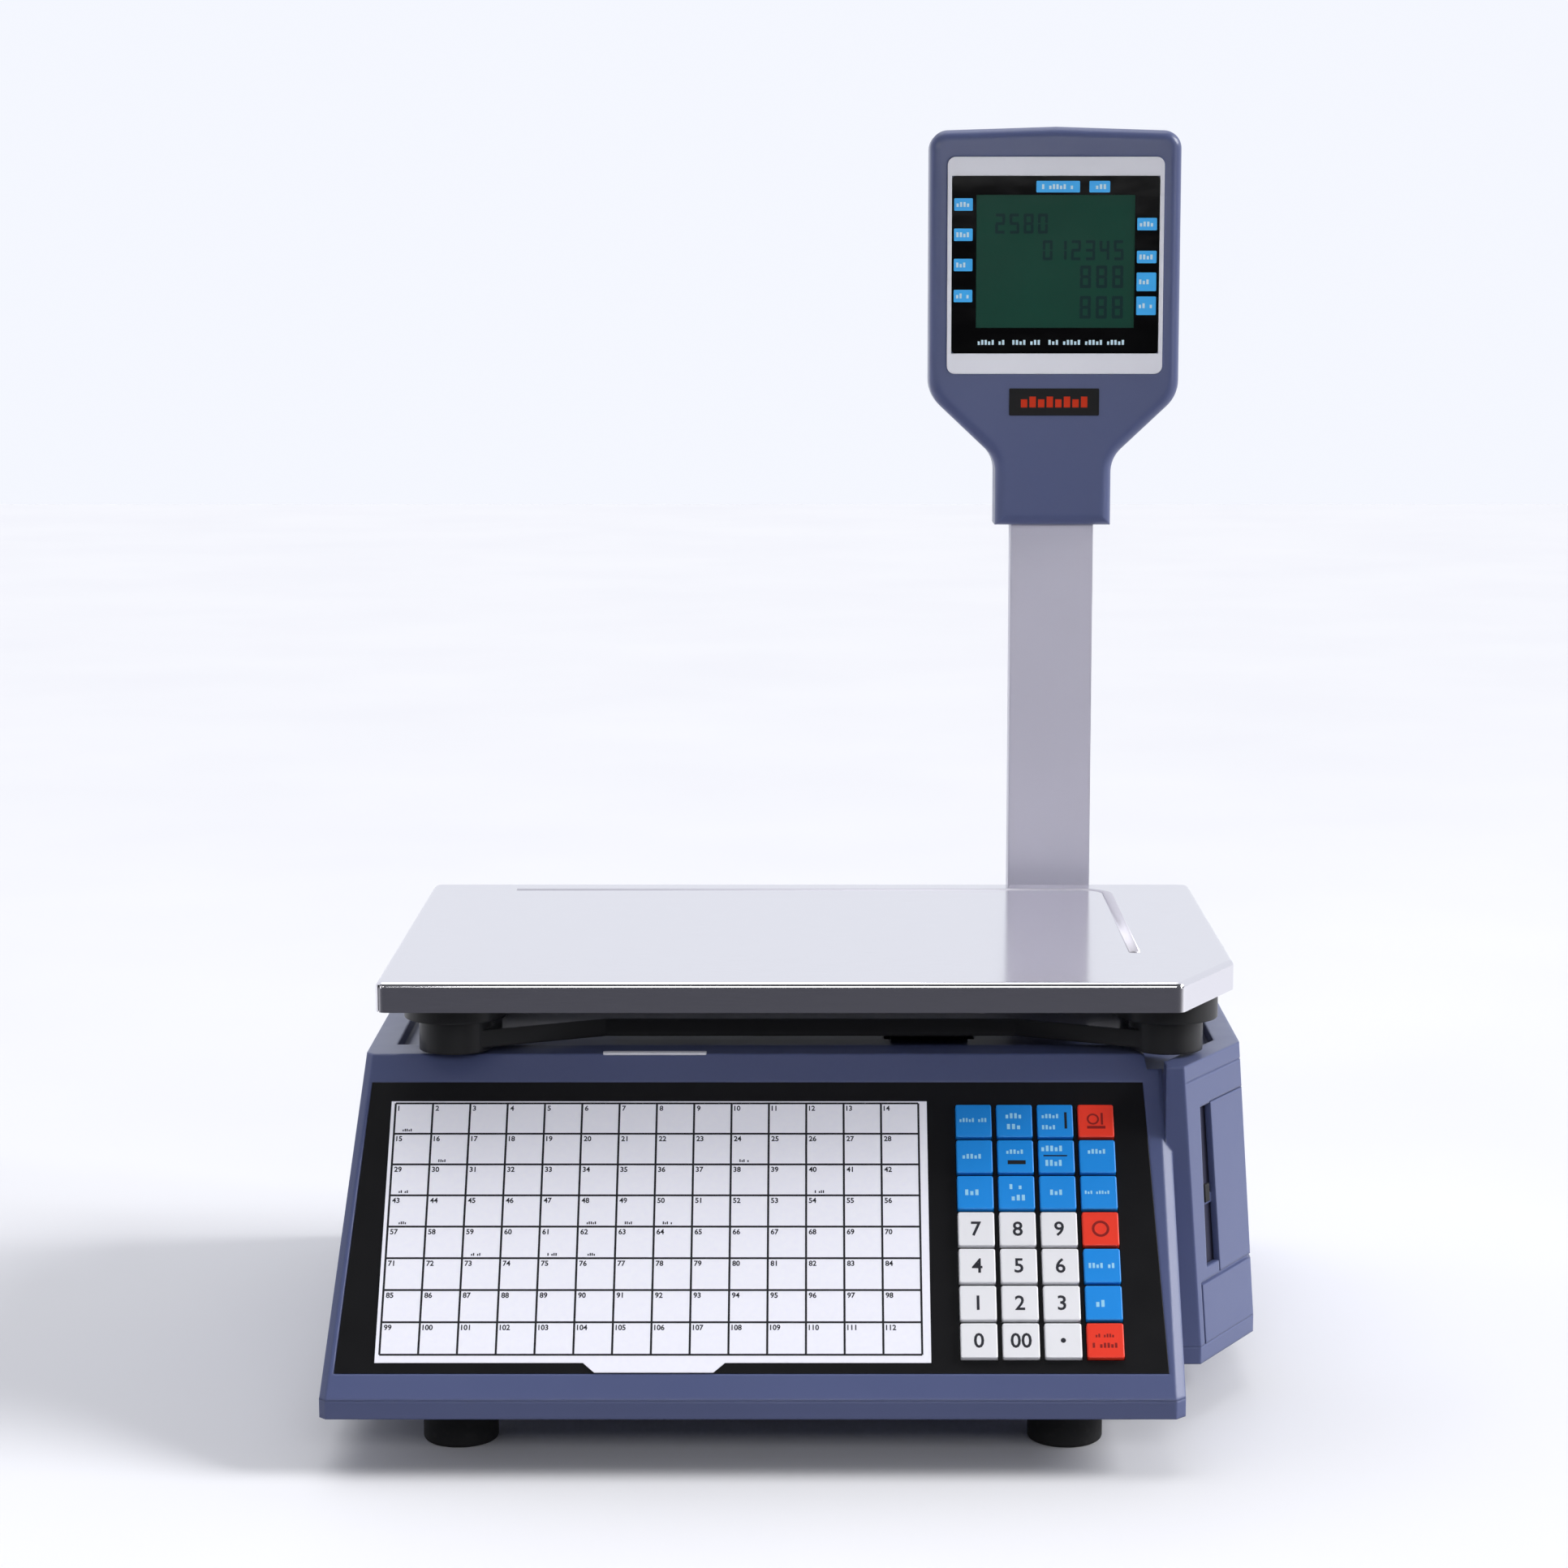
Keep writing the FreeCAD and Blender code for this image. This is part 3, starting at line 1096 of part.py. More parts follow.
def power_inlet():
    """The mains socket and the frame of the switch, in one moulding."""
    body = new_body("power_inlet")
    pad(entry_rectangle(body, "Size.entry_y", "0"), FLANGE_THICK, backwards=True)
    pad(entry_rectangle(body, "Size.entry_y", "-3"), "28")
    face = f"-(Size.entry_y + {FLANGE_THICK})"
    socket = rectangle(new_sketch(body, FRONT, face), "Size.entry_x - 21.5", "Size.entry_z - 9.5",
                       "Size.entry_x + 5.5", "Size.entry_z + 9.5")
    pocket(socket, "18", backwards=True)
    rocker = rectangle(new_sketch(body, FRONT, face), f"{ROCKER_X} - 6.3", "Size.entry_z - 10",
                       f"{ROCKER_X} + 6.3", "Size.entry_z + 10")
    pocket(rocker, "14.5", backwards=True)
    pins = new_sketch(body, FRONT, "-(Size.entry_y - 17)")
    for shift, rise in ((-15, 0), (-8, 3), (-1, 0)):
        rectangle(pins, f"Size.entry_x + {shift} - 1", f"Size.entry_z + {rise} - 2",
                  f"Size.entry_x + {shift} + 1", f"Size.entry_z + {rise} + 2")
    pad(pins, "14", backwards=True)
    pivot = circles(new_sketch(body, SIDE, f"{ROCKER_X} - Size.pivot_reach - Size.hole_gap"), [ROCKER_AXIS],
                    "Size.pivot_width + 2 * Size.pivot_gap")
    pocket(pivot, "2 * (Size.pivot_reach + Size.hole_gap)", backwards=True)
    return body


def power_switch():
    """The rocker on its two pivots, tipped to its off side."""
    body = new_body("power_switch", (ROCKER_X, *ROCKER_AXIS), V(1, 0, 0), "Size.rocker_tilt")
    side = [("-6", "-5"), ("3", "-9"), ("5.5", "-9"), ("4.2", "0"), ("5.5", "9"), ("3", "9"), ("-6", "5")]
    profile = outline(new_sketch(body, SIDE, "-6"), side)
    pad(profile, "12")
    pivots = circles(new_sketch(body, SIDE, "-Size.pivot_reach"), [("0", "0")], "Size.pivot_width")
    pad(pivots, "2 * Size.pivot_reach")
    return body


# ---------------------------------------------------------------- the whole scale

def build():
    """Every sub-part, in the order they would be put together."""
    bodies = [base_tub(), top_cover(), housing_screws()]
    bodies += [foot(name) for name in FOOT_PLACES]
    bodies += [load_cell(), tray_spider(), tray_pads(), tray()]
    bodies += [keypad_fascia(), keypad_board(), preset_key_card()]
    for row, names in enumerate(KEY_ROWS):
        bodies += [key(name, column, row) for column, name in enumerate(names)]
    bodies += [printer_chassis(), print_head(), platen_roller(), roll_spindle(), label_roll()]
    bodies += [printer_door(), door_hinge_pin(), door_latch()]
    bodies += [pole_bracket(), pole(), head_shell("head_front_shell", "0"), head_shell("head_rear_shell", "180")]
    bodies += [display_bezels(), display_windows(), display_panels()]
    bodies += [main_board(), power_inlet(), power_switch()]
    return bodies


def check_and_export(bodies):
    """Stop on any failed object, then write one file for each sub-part."""
    DOC.recompute()
    for item in DOC.Objects:
        if "Invalid" in item.State or "Error" in item.State:
            raise ValueError(f"{item.Name}: {item.State}")
    for body in bodies:
        if body.Shape.isNull() or not body.Shape.isValid() or not body.Shape.Solids:
            raise ValueError(f"{body.Label} has no sound shape")
    os.makedirs("parts", exist_ok=True)
    for body in bodies:
        body.Shape.exportStep(f"parts/{body.Label}.step")
        print(body.Label, len(body.Shape.Solids), round(body.Shape.Volume))


fill_sheet()
check_and_export(build())
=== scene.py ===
"""Looks of the retail price scale: materials, printed art, lights and camera round the CAD frame."""
import json
import math

import bmesh
import bpy
from mathutils import Matrix, Vector


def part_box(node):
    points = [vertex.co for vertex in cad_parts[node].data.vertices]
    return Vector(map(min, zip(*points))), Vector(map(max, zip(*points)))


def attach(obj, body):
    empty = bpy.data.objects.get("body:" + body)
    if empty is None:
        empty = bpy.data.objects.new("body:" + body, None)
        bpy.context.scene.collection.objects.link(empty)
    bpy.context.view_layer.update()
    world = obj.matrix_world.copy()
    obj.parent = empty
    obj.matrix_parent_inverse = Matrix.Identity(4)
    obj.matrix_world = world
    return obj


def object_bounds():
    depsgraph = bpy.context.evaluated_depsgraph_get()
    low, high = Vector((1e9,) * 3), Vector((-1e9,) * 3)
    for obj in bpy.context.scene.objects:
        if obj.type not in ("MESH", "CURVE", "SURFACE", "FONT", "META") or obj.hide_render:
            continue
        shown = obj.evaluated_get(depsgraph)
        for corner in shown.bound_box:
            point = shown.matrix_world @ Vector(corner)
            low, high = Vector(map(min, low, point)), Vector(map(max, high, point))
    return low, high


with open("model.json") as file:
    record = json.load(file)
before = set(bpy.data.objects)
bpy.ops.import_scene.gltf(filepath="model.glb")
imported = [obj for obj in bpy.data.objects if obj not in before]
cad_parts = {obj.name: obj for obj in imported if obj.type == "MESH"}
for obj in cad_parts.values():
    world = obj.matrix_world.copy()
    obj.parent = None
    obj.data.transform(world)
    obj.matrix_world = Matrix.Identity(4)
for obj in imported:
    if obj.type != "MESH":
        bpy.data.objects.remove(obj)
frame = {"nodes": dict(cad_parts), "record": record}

CAD_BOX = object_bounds()
MM = 0.001
NODES = frame["nodes"]
BODIES = frame["record"]["behaviour"]["bodies"]
BODY_OF = {node: body for body, nodes in BODIES.items() for node in nodes}
HOUSING = BODY_OF["top_cover"]

# Colours as they show on screen (sRGB, 0 to 1).
SLATE = (0.32, 0.355, 0.51)
BEZEL_GREY = (0.93, 0.93, 0.97)
POLE_GREY = (0.78, 0.77, 0.83)
KEY_BLUE = (0.07, 0.55, 0.90)
KEY_WHITE = (0.93, 0.93, 0.95)
KEY_RED = (0.94, 0.22, 0.13)
CARD_WHITE = (0.90, 0.90, 0.94)
INK = (0.07, 0.07, 0.10)
TAG_BLUE = (0.26, 0.66, 0.93)
LCD_GREEN = (0.02, 0.23, 0.18)


# ---------------------------------------------------------------- materials

def linear(colour):
    """An on-screen colour as the linear values that shaders take."""
    return tuple(c / 12.92 if c <= 0.04045 else ((c + 0.055) / 1.055) ** 2.4 for c in colour) + (1.0,)


def scaled(colour, factor):
    """A paler or darker shade of a colour."""
    return tuple(min(1.0, c * factor) for c in colour)


# Sockets of Blender's colour mix node, which share one name.
MIX_FIRST, MIX_SECOND, MIX_RESULT = 6, 7, 2


class Shader:
    """A material being built: a principled shader and short calls for the nodes that feed it."""

    def __init__(self, name, roughness, metallic=0.0, coat=0.0, sheen=0.5):
        self.material = bpy.data.materials.new(name)
        self.material.use_nodes = True
        self.tree = self.material.node_tree
        self.surface = self.tree.nodes["Principled BSDF"]
        self.set(self.surface, "Roughness", roughness)
        self.set(self.surface, "Metallic", metallic)
        self.set(self.surface, "Coat Weight", coat)
        self.set(self.surface, "Specular IOR Level", sheen)
        self.place = self.node("ShaderNodeTexCoord").outputs["Object"]

    def node(self, kind, **settings):
        made = self.tree.nodes.new(kind)
        for key, value in settings.items():
            setattr(made, key, value)
        return made

    def set(self, node, socket, value):
        """Feed a socket with another node's output, or with a plain value."""
        if isinstance(value, bpy.types.NodeSocket):
            self.tree.links.new(value, node.inputs[socket])
        else:
            node.inputs[socket].default_value = value

    def noise(self, scale, detail=2.0, stretch=(1, 1, 1)):
        """Noise in object space; scale is features for each metre."""
        mapping = self.node("ShaderNodeMapping")
        self.set(mapping, "Vector", self.place)
        self.set(mapping, "Scale", stretch)
        noise = self.node("ShaderNodeTexNoise")
        self.set(noise, "Vector", mapping.outputs["Vector"])
        self.set(noise, "Scale", scale)
        self.set(noise, "Detail", detail)
        return noise.outputs["Fac"]

    def span(self, source, low, high, from_low=0.0, from_high=1.0):
        """The source's range mapped to low and high, and kept between them."""
        remap = self.node("ShaderNodeMapRange")
        self.set(remap, "Value", source)
        self.set(remap, "From Min", from_low)
        self.set(remap, "From Max", from_high)
        self.set(remap, "To Min", low)
        self.set(remap, "To Max", high)
        return remap.outputs["Result"]

    def blend(self, first, second, factor):
        """The first colour where the factor is 0, and the second where it is 1."""
        mix = self.node("ShaderNodeMix", data_type="RGBA")
        self.set(mix, "Factor", factor)
        self.set(mix, MIX_FIRST, first)
        self.set(mix, MIX_SECOND, second)
        return mix.outputs[MIX_RESULT]

    def edge_normal(self, radius):
        """A normal that rolls over sharp edges, as moulded and pressed parts do."""
        bevel = self.node("ShaderNodeBevel", samples=4)
        self.set(bevel, "Radius", radius)
        return bevel.outputs["Normal"]

    def edge_mask(self, rounded):
        """Near 1 where the rounded normal turns away from the flat one."""
        dot = self.node("ShaderNodeVectorMath", operation="DOT_PRODUCT")
        self.set(dot, 0, rounded)
        self.set(dot, 1, self.node("ShaderNodeNewGeometry").outputs["True Normal"])
        return self.span(dot.outputs["Value"], 1.0, 0.0, 0.90, 0.995)

    def bump(self, height, strength, distance, normal=None):
        """Fine relief in the shading only; distance is its depth in metres."""
        bump = self.node("ShaderNodeBump")
        self.set(bump, "Height", height)
        self.set(bump, "Strength", strength)
        self.set(bump, "Distance", distance)
        if normal is not None:
            self.set(bump, "Normal", normal)
        return bump.outputs["Normal"]

    def colour(self, value):
        self.set(self.surface, "Base Color", value)

    def normal(self, value):
        self.set(self.surface, "Normal", value)

    def glow(self, colour, strength):
        """A little light of its own, for parts that look brighter than the lamps alone make them."""
        self.set(self.surface, "Emission Color", linear(colour))
        self.set(self.surface, "Emission Strength", strength)


def moulded(name, colour, roughness=0.45, grain_depth=0.00006, edge=0.0012, edge_highlight=1.12, sheen=0.5):
    """Moulded plastic: a fine spark-eroded grain, faint clouds in its tone, and a painted highlight that
    makes its rounded edges paler.
    """
    shader = Shader(name, roughness, sheen=sheen)
    clouds = shader.noise(9, 3)
    toned = shader.blend(linear(scaled(colour, 0.96)), linear(scaled(colour, 1.04)), clouds)
    rounded = shader.edge_normal(edge)
    # Painted highlight: where the rounded normal turns away from the flat one, the colour is scaled paler
    # by this factor, as if the edges caught light.
    shader.colour(shader.blend(toned, linear(scaled(colour, edge_highlight)), shader.edge_mask(rounded)))
    handled = shader.span(shader.noise(60, 4), roughness - 0.05, roughness + 0.07)
    shader.set(shader.surface, "Roughness", handled)
    shader.normal(shader.bump(shader.noise(1600, 2), 0.25, grain_depth, rounded))
    return shader.material


def brushed(name, colour, roughness, along=(1, 60, 60), edge=0.0008, depth=0.00003):
    """Metal with fine lines along one axis. With edge at 0 its edges stay sharp."""
    shader = Shader(name, roughness, metallic=1.0)
    lines = shader.noise(90, 6, along)
    shader.colour(shader.blend(linear(scaled(colour, 0.94)), linear(scaled(colour, 1.03)), lines))
    shader.set(shader.surface, "Roughness", shader.span(lines, roughness * 0.75, roughness * 1.3))
    shader.normal(shader.bump(lines, 0.10, depth, shader.edge_normal(edge) if edge else None))
    return shader.material


def powder_coated(name, colour, roughness=0.38):
    """Thick stoved paint with a faint orange peel."""
    shader = Shader(name, roughness, metallic=0.1, coat=0.15)
    clouds = shader.noise(14, 2)
    shader.colour(shader.blend(linear(scaled(colour, 0.97)), linear(scaled(colour, 1.03)), clouds))
    shader.normal(shader.bump(shader.noise(700, 2), 0.2, 0.00005, shader.edge_normal(0.0015)))
    return shader.material


def rubber(name, colour):
    """Matt rubber with dust in its pores."""
    shader = Shader(name, 0.8)
    dust = shader.span(shader.noise(260, 5), 0.0, 0.35, 0.55, 0.8)
    shader.colour(shader.blend(linear(colour), linear((0.20, 0.19, 0.18)), dust))
    shader.normal(shader.bump(shader.noise(900, 3), 0.5, 0.0001, shader.edge_normal(0.001)))
    return shader.material


def printed(name, colour, roughness=0.35, fleck=0.02, glow=0.0):
    """Flat ink or coated card, with faint flecks. A little glow is painted light, which lifts the shade
    on the card so that it looks evenly white.
    """
    shader = Shader(name, roughness, coat=0.2)
    pale, dark = linear(scaled(colour, 1 + fleck)), linear(scaled(colour, 1 - fleck))
    shader.colour(shader.blend(dark, pale, shader.noise(420, 4)))
    shader.normal(shader.bump(shader.noise(150, 3), 0.05, 0.00004))
    shader.glow(colour, glow)
    return shader.material


def glossy(name, colour, roughness=0.06, glow=0.0):
    """A hard glossy window or panel, with faint smears where it has been wiped."""
    shader = Shader(name, roughness, sheen=0.15)
    smears = shader.noise(40, 4, (1, 1, 3))
    shader.set(shader.surface, "Roughness", shader.span(smears, roughness, roughness + 0.12, 0.4, 0.8))
    pale, dark = linear(scaled(colour, 1.1)), linear(scaled(colour, 0.9))
    shader.colour(shader.blend(dark, pale, shader.noise(25, 2)))
    shader.glow(colour, glow)
    return shader.material


def wound_paper(name):
    """A roll of labels: its flat ends show every turn as a fine ring."""
    shader = Shader(name, 0.7)
    wave = shader.node("ShaderNodeTexWave", wave_type="RINGS", rings_direction="Z")
    low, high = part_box("label_roll")
    middle = (low + high) / 2
    mapping = shader.node("ShaderNodeMapping")
    shader.set(mapping, "Vector", shader.place)
    shader.set(mapping, "Location", (-middle.x, -middle.y, 0))
    shader.set(wave, "Vector", mapping.outputs["Vector"])
    shader.set(wave, "Scale", 700)
    rings = wave.outputs["Fac"]
    shader.colour(shader.blend(linear((0.86, 0.85, 0.80)), linear((0.96, 0.95, 0.92)), rings))
    shader.normal(shader.bump(rings, 0.3, 0.00005))
    return shader.material


def circuit_board(name):
    """Green solder mask over faint copper tracks."""
    shader = Shader(name, 0.35, coat=0.4)
    bricks = shader.node("ShaderNodeTexBrick")
    shader.set(bricks, "Vector", shader.place)
    shader.set(bricks, "Scale", 120)
    shader.set(bricks, "Mortar Size", 0.03)
    tracks = bricks.outputs["Fac"]
    shader.colour(shader.blend(linear((0.03, 0.26, 0.12)), linear((0.10, 0.42, 0.22)), tracks))
    shader.normal(shader.bump(tracks, 0.2, 0.00004))
    return shader.material


FINE = {"grain_depth": 0.00003, "edge": 0.0006}     # small smooth mouldings, such as the keys

MATERIALS = {
    "housing": moulded("slate_plastic", SLATE, 0.30, edge=0.0018),
    "feet": rubber("foot_rubber", (0.05, 0.05, 0.06)),
    "steel": brushed("plated_steel", (0.66, 0.66, 0.68), 0.3, (30, 30, 1)),
    "aluminium": brushed("milled_aluminium", (0.78, 0.78, 0.80), 0.35),
    "casting": powder_coated("black_casting", (0.05, 0.05, 0.06), 0.5),
    "tray": brushed("brushed_stainless", (0.92, 0.915, 0.935), 0.12, edge=0, depth=0.000004),
    # The bead is the tray's own steel in a darker colour: painted shade that makes it look soft grey
    # beside the bright tray. Its higher roughness is real.
    "bead": brushed("shaded_bead_steel", (0.84, 0.83, 0.86), 0.42, edge=0, depth=0.000004),
    "fascia": moulded("fascia_black", (0.03, 0.03, 0.045), 0.42, 0.00003, edge=0.0004, sheen=0.25),
    "board": circuit_board("solder_mask"),
    # The card's glow is painted light that lifts the shade falling on it.
    "card": printed("card_white", CARD_WHITE, glow=0.22),
    "works": moulded("dark_works_plastic", (0.16, 0.16, 0.24), 0.5),
    "latch": moulded("black_latch_plastic", (0.025, 0.025, 0.04), 0.7),
    "paper": wound_paper("label_paper"),
    "pole": powder_coated("pole_coat", POLE_GREY),
    "bezel": moulded("bezel_grey", BEZEL_GREY, 0.4, edge=0.0008, edge_highlight=1.05),
    "window": glossy("window_black", (0.02, 0.02, 0.025), 0.08),
    "lcd": glossy("lcd_green", LCD_GREEN, 0.3, glow=0.12),
    "blue": moulded("key_blue", KEY_BLUE, 0.38, edge_highlight=1.1, **FINE),
    "white": moulded("key_white", KEY_WHITE, 0.4, edge_highlight=1.0, **FINE),
    "red": moulded("key_red", KEY_RED, 0.38, edge_highlight=1.1, **FINE),
    "ink": printed("black_ink", INK, 0.4),
    "key_ink": printed("key_ink", (0.14, 0.14, 0.18), 0.4),
    "pale_ink": printed("pale_ink", (0.62, 0.85, 0.97), 0.4),
    "dark_red_ink": printed("dark_red_ink", (0.55, 0.07, 0.05), 0.4),
    "tag": glossy("tag_blue", TAG_BLUE, 0.2, glow=0.15),
    "tag_mark": printed("tag_mark", (0.82, 0.93, 0.99), 0.3),
    "segment": glossy("lcd_segment", (0.005, 0.17, 0.17), 0.3),
    # The badge's red blocks are print, not a lamp; their glow is painted light.
    "lamp": glossy("badge_red_glow", (0.70, 0.18, 0.07), 0.3, glow=0.15),
}

WHITE_KEYS = {f"key_{digit}" for digit in range(10)} | {"key_00", "key_point"}
RED_KEYS = {"key_clear", "key_print", "key_feed"}
LOOK_OF_SLOT = {
    "housing_plastic": "housing", "foot_rubber": "feet", "steel": "steel", "aluminium": "aluminium",
    "black_casting": "casting", "stainless": "tray", "fascia_black": "fascia", "board_green": "board",
    "card_white": "card", "chassis_plastic": "works", "label_paper": "paper", "pole_grey": "pole",
    "bezel_grey": "bezel", "window_black": "window", "lcd_green": "lcd",
    "key_blue": "blue", "key_white": "white", "key_red": "red",
}
# Nodes with a look of their own: both are seen as dark shapes where the labels come out.
LOOK_OF_NODE = {"door_latch": "latch", "print_head": "works"}


def dress_cad_nodes():
    """Every CAD node gets its own look, or else the look of its material slot."""
    for part in frame["record"]["subparts"]:
        mesh = NODES[part["node"]].data
        mesh.materials.clear()
        look = LOOK_OF_NODE.get(part["node"], LOOK_OF_SLOT[part["material_slot"]])
        mesh.materials.append(MATERIALS[look])


# ---------------------------------------------------------------- mesh helpers

def finish_piece(name, mesh_builder, look, body):
    """Turn a bmesh into a piece that rides on a body."""
    mesh = bpy.data.meshes.new(name)
    mesh_builder.to_mesh(mesh)
    mesh_builder.free()
    mesh.materials.append(MATERIALS[look])
    piece = bpy.data.objects.new(name, mesh)
    bpy.context.scene.collection.objects.link(piece)
    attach(piece, body)
    return piece


def add_prism(builder, matrix, outline, low, high):
    """A closed prism over an outline of (x, y) points, between two heights, in the matrix's frame."""
    count = len(outline)
    bottom = [builder.verts.new(matrix @ Vector((x, y, low))) for x, y in outline]
    top = [builder.verts.new(matrix @ Vector((x, y, high))) for x, y in outline]
    builder.faces.new(list(reversed(bottom)))
    builder.faces.new(top)
    for i in range(count):
        j = (i + 1) % count
        builder.faces.new((bottom[i], bottom[j], top[j], top[i]))


def rounded_rectangle(left, low, right, high, radius, steps=5):
    """Points round a rectangle with rounded corners."""
    radius = min(radius, (right - left) / 2, (high - low) / 2)
    centres = rectangle(left + radius, low + radius, right - radius, high - radius)
    points = []
    for corner, (x, y) in enumerate(centres[2:] + centres[:2]):
        for step in range(steps + 1):
            angle = math.radians(90 * (corner + step / steps))
            points.append((x + radius * math.cos(angle), y + radius * math.sin(angle)))
    return points


def rectangle(left, low, right, high):
    """Its four corners, counterclockwise from the lower left."""
    return [(left, low), (right, low), (right, high), (left, high)]


GLYPHS = {}
GLYPH_SIZE = 1.4     # the type size at which a digit is about one unit high


def glyph(text, weight):
    """A flat solid of the text, about one unit high and centred, as (points, faces, extent)."""
    key = (text, weight)
    if key not in GLYPHS:
        curve = bpy.data.curves.new("glyph", "FONT")
        curve.body = text
        curve.size = GLYPH_SIZE
        curve.offset = weight
        curve.extrude = 0.5
        curve.resolution_u = 3
        holder = bpy.data.objects.new("glyph", curve)
        bpy.context.scene.collection.objects.link(holder)
        bpy.context.view_layer.update()
        mesh = bpy.data.meshes.new_from_object(holder)
        joined = bmesh.new()
        joined.from_mesh(mesh)
        bmesh.ops.remove_doubles(joined, verts=joined.verts, dist=1e-5)
        joined.to_mesh(mesh)
        joined.free()
        points = [v.co.copy() for v in mesh.vertices]
        faces = [tuple(p.vertices) for p in mesh.polygons]
        bpy.data.objects.remove(holder)
        bpy.data.curves.remove(curve)
        bpy.data.meshes.remove(mesh)
        low = Vector([min(p[i] for p in points) for i in range(3)])
        high = Vector([max(p[i] for p in points) for i in range(3)])
        middle = (low + high) / 2
        GLYPHS[key] = ([p - middle for p in points], faces, high - low)
    return GLYPHS[key]


def add_text(builder, matrix, text, x, y, height, low, thick, weight=0.0, anchor="centre"):
    """Solid text of that height at a place in the matrix's frame, standing on the level low."""
    points, faces, extent = glyph(text, weight)
    half_width = extent.x * height / 2
    shift = {"centre": 0.0, "left": half_width, "right": -half_width}[anchor]
    made = []
    for p in points:
        corner = Vector((x + shift + p.x * height, y + p.y * height, low + (p.z + 0.5) * thick))
        made.append(builder.verts.new(matrix @ corner))
    for face in faces:
        builder.faces.new([made[i] for i in face])


def box_in(node, matrix):
    """Lowest and highest corner of a CAD node in another frame."""
    inverse = matrix.inverted()
    points = [inverse @ v.co for v in NODES[node].data.vertices]
    return (Vector([min(p[i] for p in points) for i in range(3)]),
            Vector([max(p[i] for p in points) for i in range(3)]))


# ---------------------------------------------------------------- frames of the printed faces

COVER_LOW, COVER_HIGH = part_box("top_cover")
PANEL_ANGLE = math.radians(51)     # the sloping panel's lean from the floor
PANEL = Matrix.Translation((0, COVER_LOW.y, COVER_LOW.z)) @ Matrix.Rotation(PANEL_ANGLE, 4, "X")
PRINT = 0.05 * MM     # thickness of a printed mark


def key_top(node):
    """Middle of the key's top face, as (x, y, z) in the panel's frame."""
    low, high = box_in(node, PANEL)
    return (low.x + high.x) / 2, (low.y + high.y) / 2, high.z


# ---------------------------------------------------------------- preset card

CARD_ROWS = 8
CARD_COLUMNS = 14
CARD_MARGINS = {"left": 1.9 * MM, "right": 3.8 * MM, "low": 8.0 * MM, "high": 1.0 * MM}
RULE = 0.9 * MM                  # width of a line between cells
CELL_DIGIT = 2.4 * MM            # height of a cell's number
CELL_INSET = (1.2 * MM, 2.4 * MM)     # from the cell's upper left corner to its number's left end
CELL_MARK = (4.4 * MM, 1.3 * MM)      # size of a product mark
CELL_MARK_AT = (0.36, 0.88)           # its middle, in shares of the cell from the upper left
# Cells (row, column) that also carry a short product mark.
MARKED_CELLS = (
    (0, 0), (1, 1), (1, 9), (2, 0), (2, 11), (3, 0), (3, 5), (3, 6), (3, 7), (4, 2), (4, 4), (4, 5),
)


def card_area():
    """The card's printed grid in the panel's frame: left, low, right, high and the surface level."""
    low, high = box_in("preset_key_card", PANEL)
    return (low.x + CARD_MARGINS["left"], low.y + CARD_MARGINS["low"],
            high.x - CARD_MARGINS["right"], high.y - CARD_MARGINS["high"], high.z)


def print_card_rules(left, low, right, high, level):
    """Black lines between the cells. The tops of the upright ones are a little lower than the others'."""
    wide = (right - left) / CARD_COLUMNS
    tall = (high - low) / CARD_ROWS
    upright_top = level + 0.8 * PRINT
    grid = bmesh.new()
    for row in range(CARD_ROWS + 1):
        y = low + row * tall
        add_prism(grid, PANEL, rectangle(left, y - RULE / 2, right, y + RULE / 2), level, level + PRINT)
    for column in range(CARD_COLUMNS + 1):
        x = left + column * wide
        add_prism(grid, PANEL, rectangle(x - RULE / 2, low, x + RULE / 2, high), level, upright_top)
    finish_piece("card_grid", grid, "ink", BODY_OF["preset_key_card"])


def print_card_numbers(left, low, right, high, level):
    """A number in each cell, and a few short product marks."""
    wide = (right - left) / CARD_COLUMNS
    tall = (high - low) / CARD_ROWS
    numbers = bmesh.new()
    for row in range(CARD_ROWS):
        for column in range(CARD_COLUMNS):
            text = str(row * CARD_COLUMNS + column + 1)
            x = left + column * wide + CELL_INSET[0]
            y = high - row * tall - CELL_INSET[1]
            add_text(numbers, PANEL, text, x, y, CELL_DIGIT, level, PRINT, 0.035, "left")
    for seed, (row, column) in enumerate(MARKED_CELLS):
        x = left + (column + CELL_MARK_AT[0]) * wide
        y = high - (row + CELL_MARK_AT[1]) * tall
        add_word(numbers, PANEL, x, y, *CELL_MARK, level, seed)
    finish_piece("card_numbers", numbers, "ink", BODY_OF["preset_key_card"])


# ---------------------------------------------------------------- key legends

KEY_SIZE = 15.9 * MM     # width of one key


def add_word(builder, matrix, x, y, width, height, level, seed):
    """A row of short upright bars that stands for a printed word."""
    bars = max(3, round(width / (0.75 * height)))
    step = width / bars
    for i in range(bars):
        if (i * 7 + seed) % 6 == 5:
            continue
        rise = height * (1.0 if (i + seed) % 3 else 0.7)
        left = x - width / 2 + i * step
        foot = y - height / 2
        bar = rectangle(left, foot, left + 0.62 * step, foot + rise)
        add_prism(builder, matrix, bar, level, level + PRINT)


def add_ring(builder, matrix, x, y, radius, width, level, steps=28):
    """A flat ring."""
    outer, inner = [], []
    for i in range(steps + 1):
        angle = 2 * math.pi * i / steps
        across, up = math.cos(angle), math.sin(angle)
        outer.append((x + radius * across, y + radius * up))
        inner.append((x + (radius - width) * across, y + (radius - width) * up))
    add_prism(builder, matrix, outer + list(reversed(inner)), level, level + PRINT)


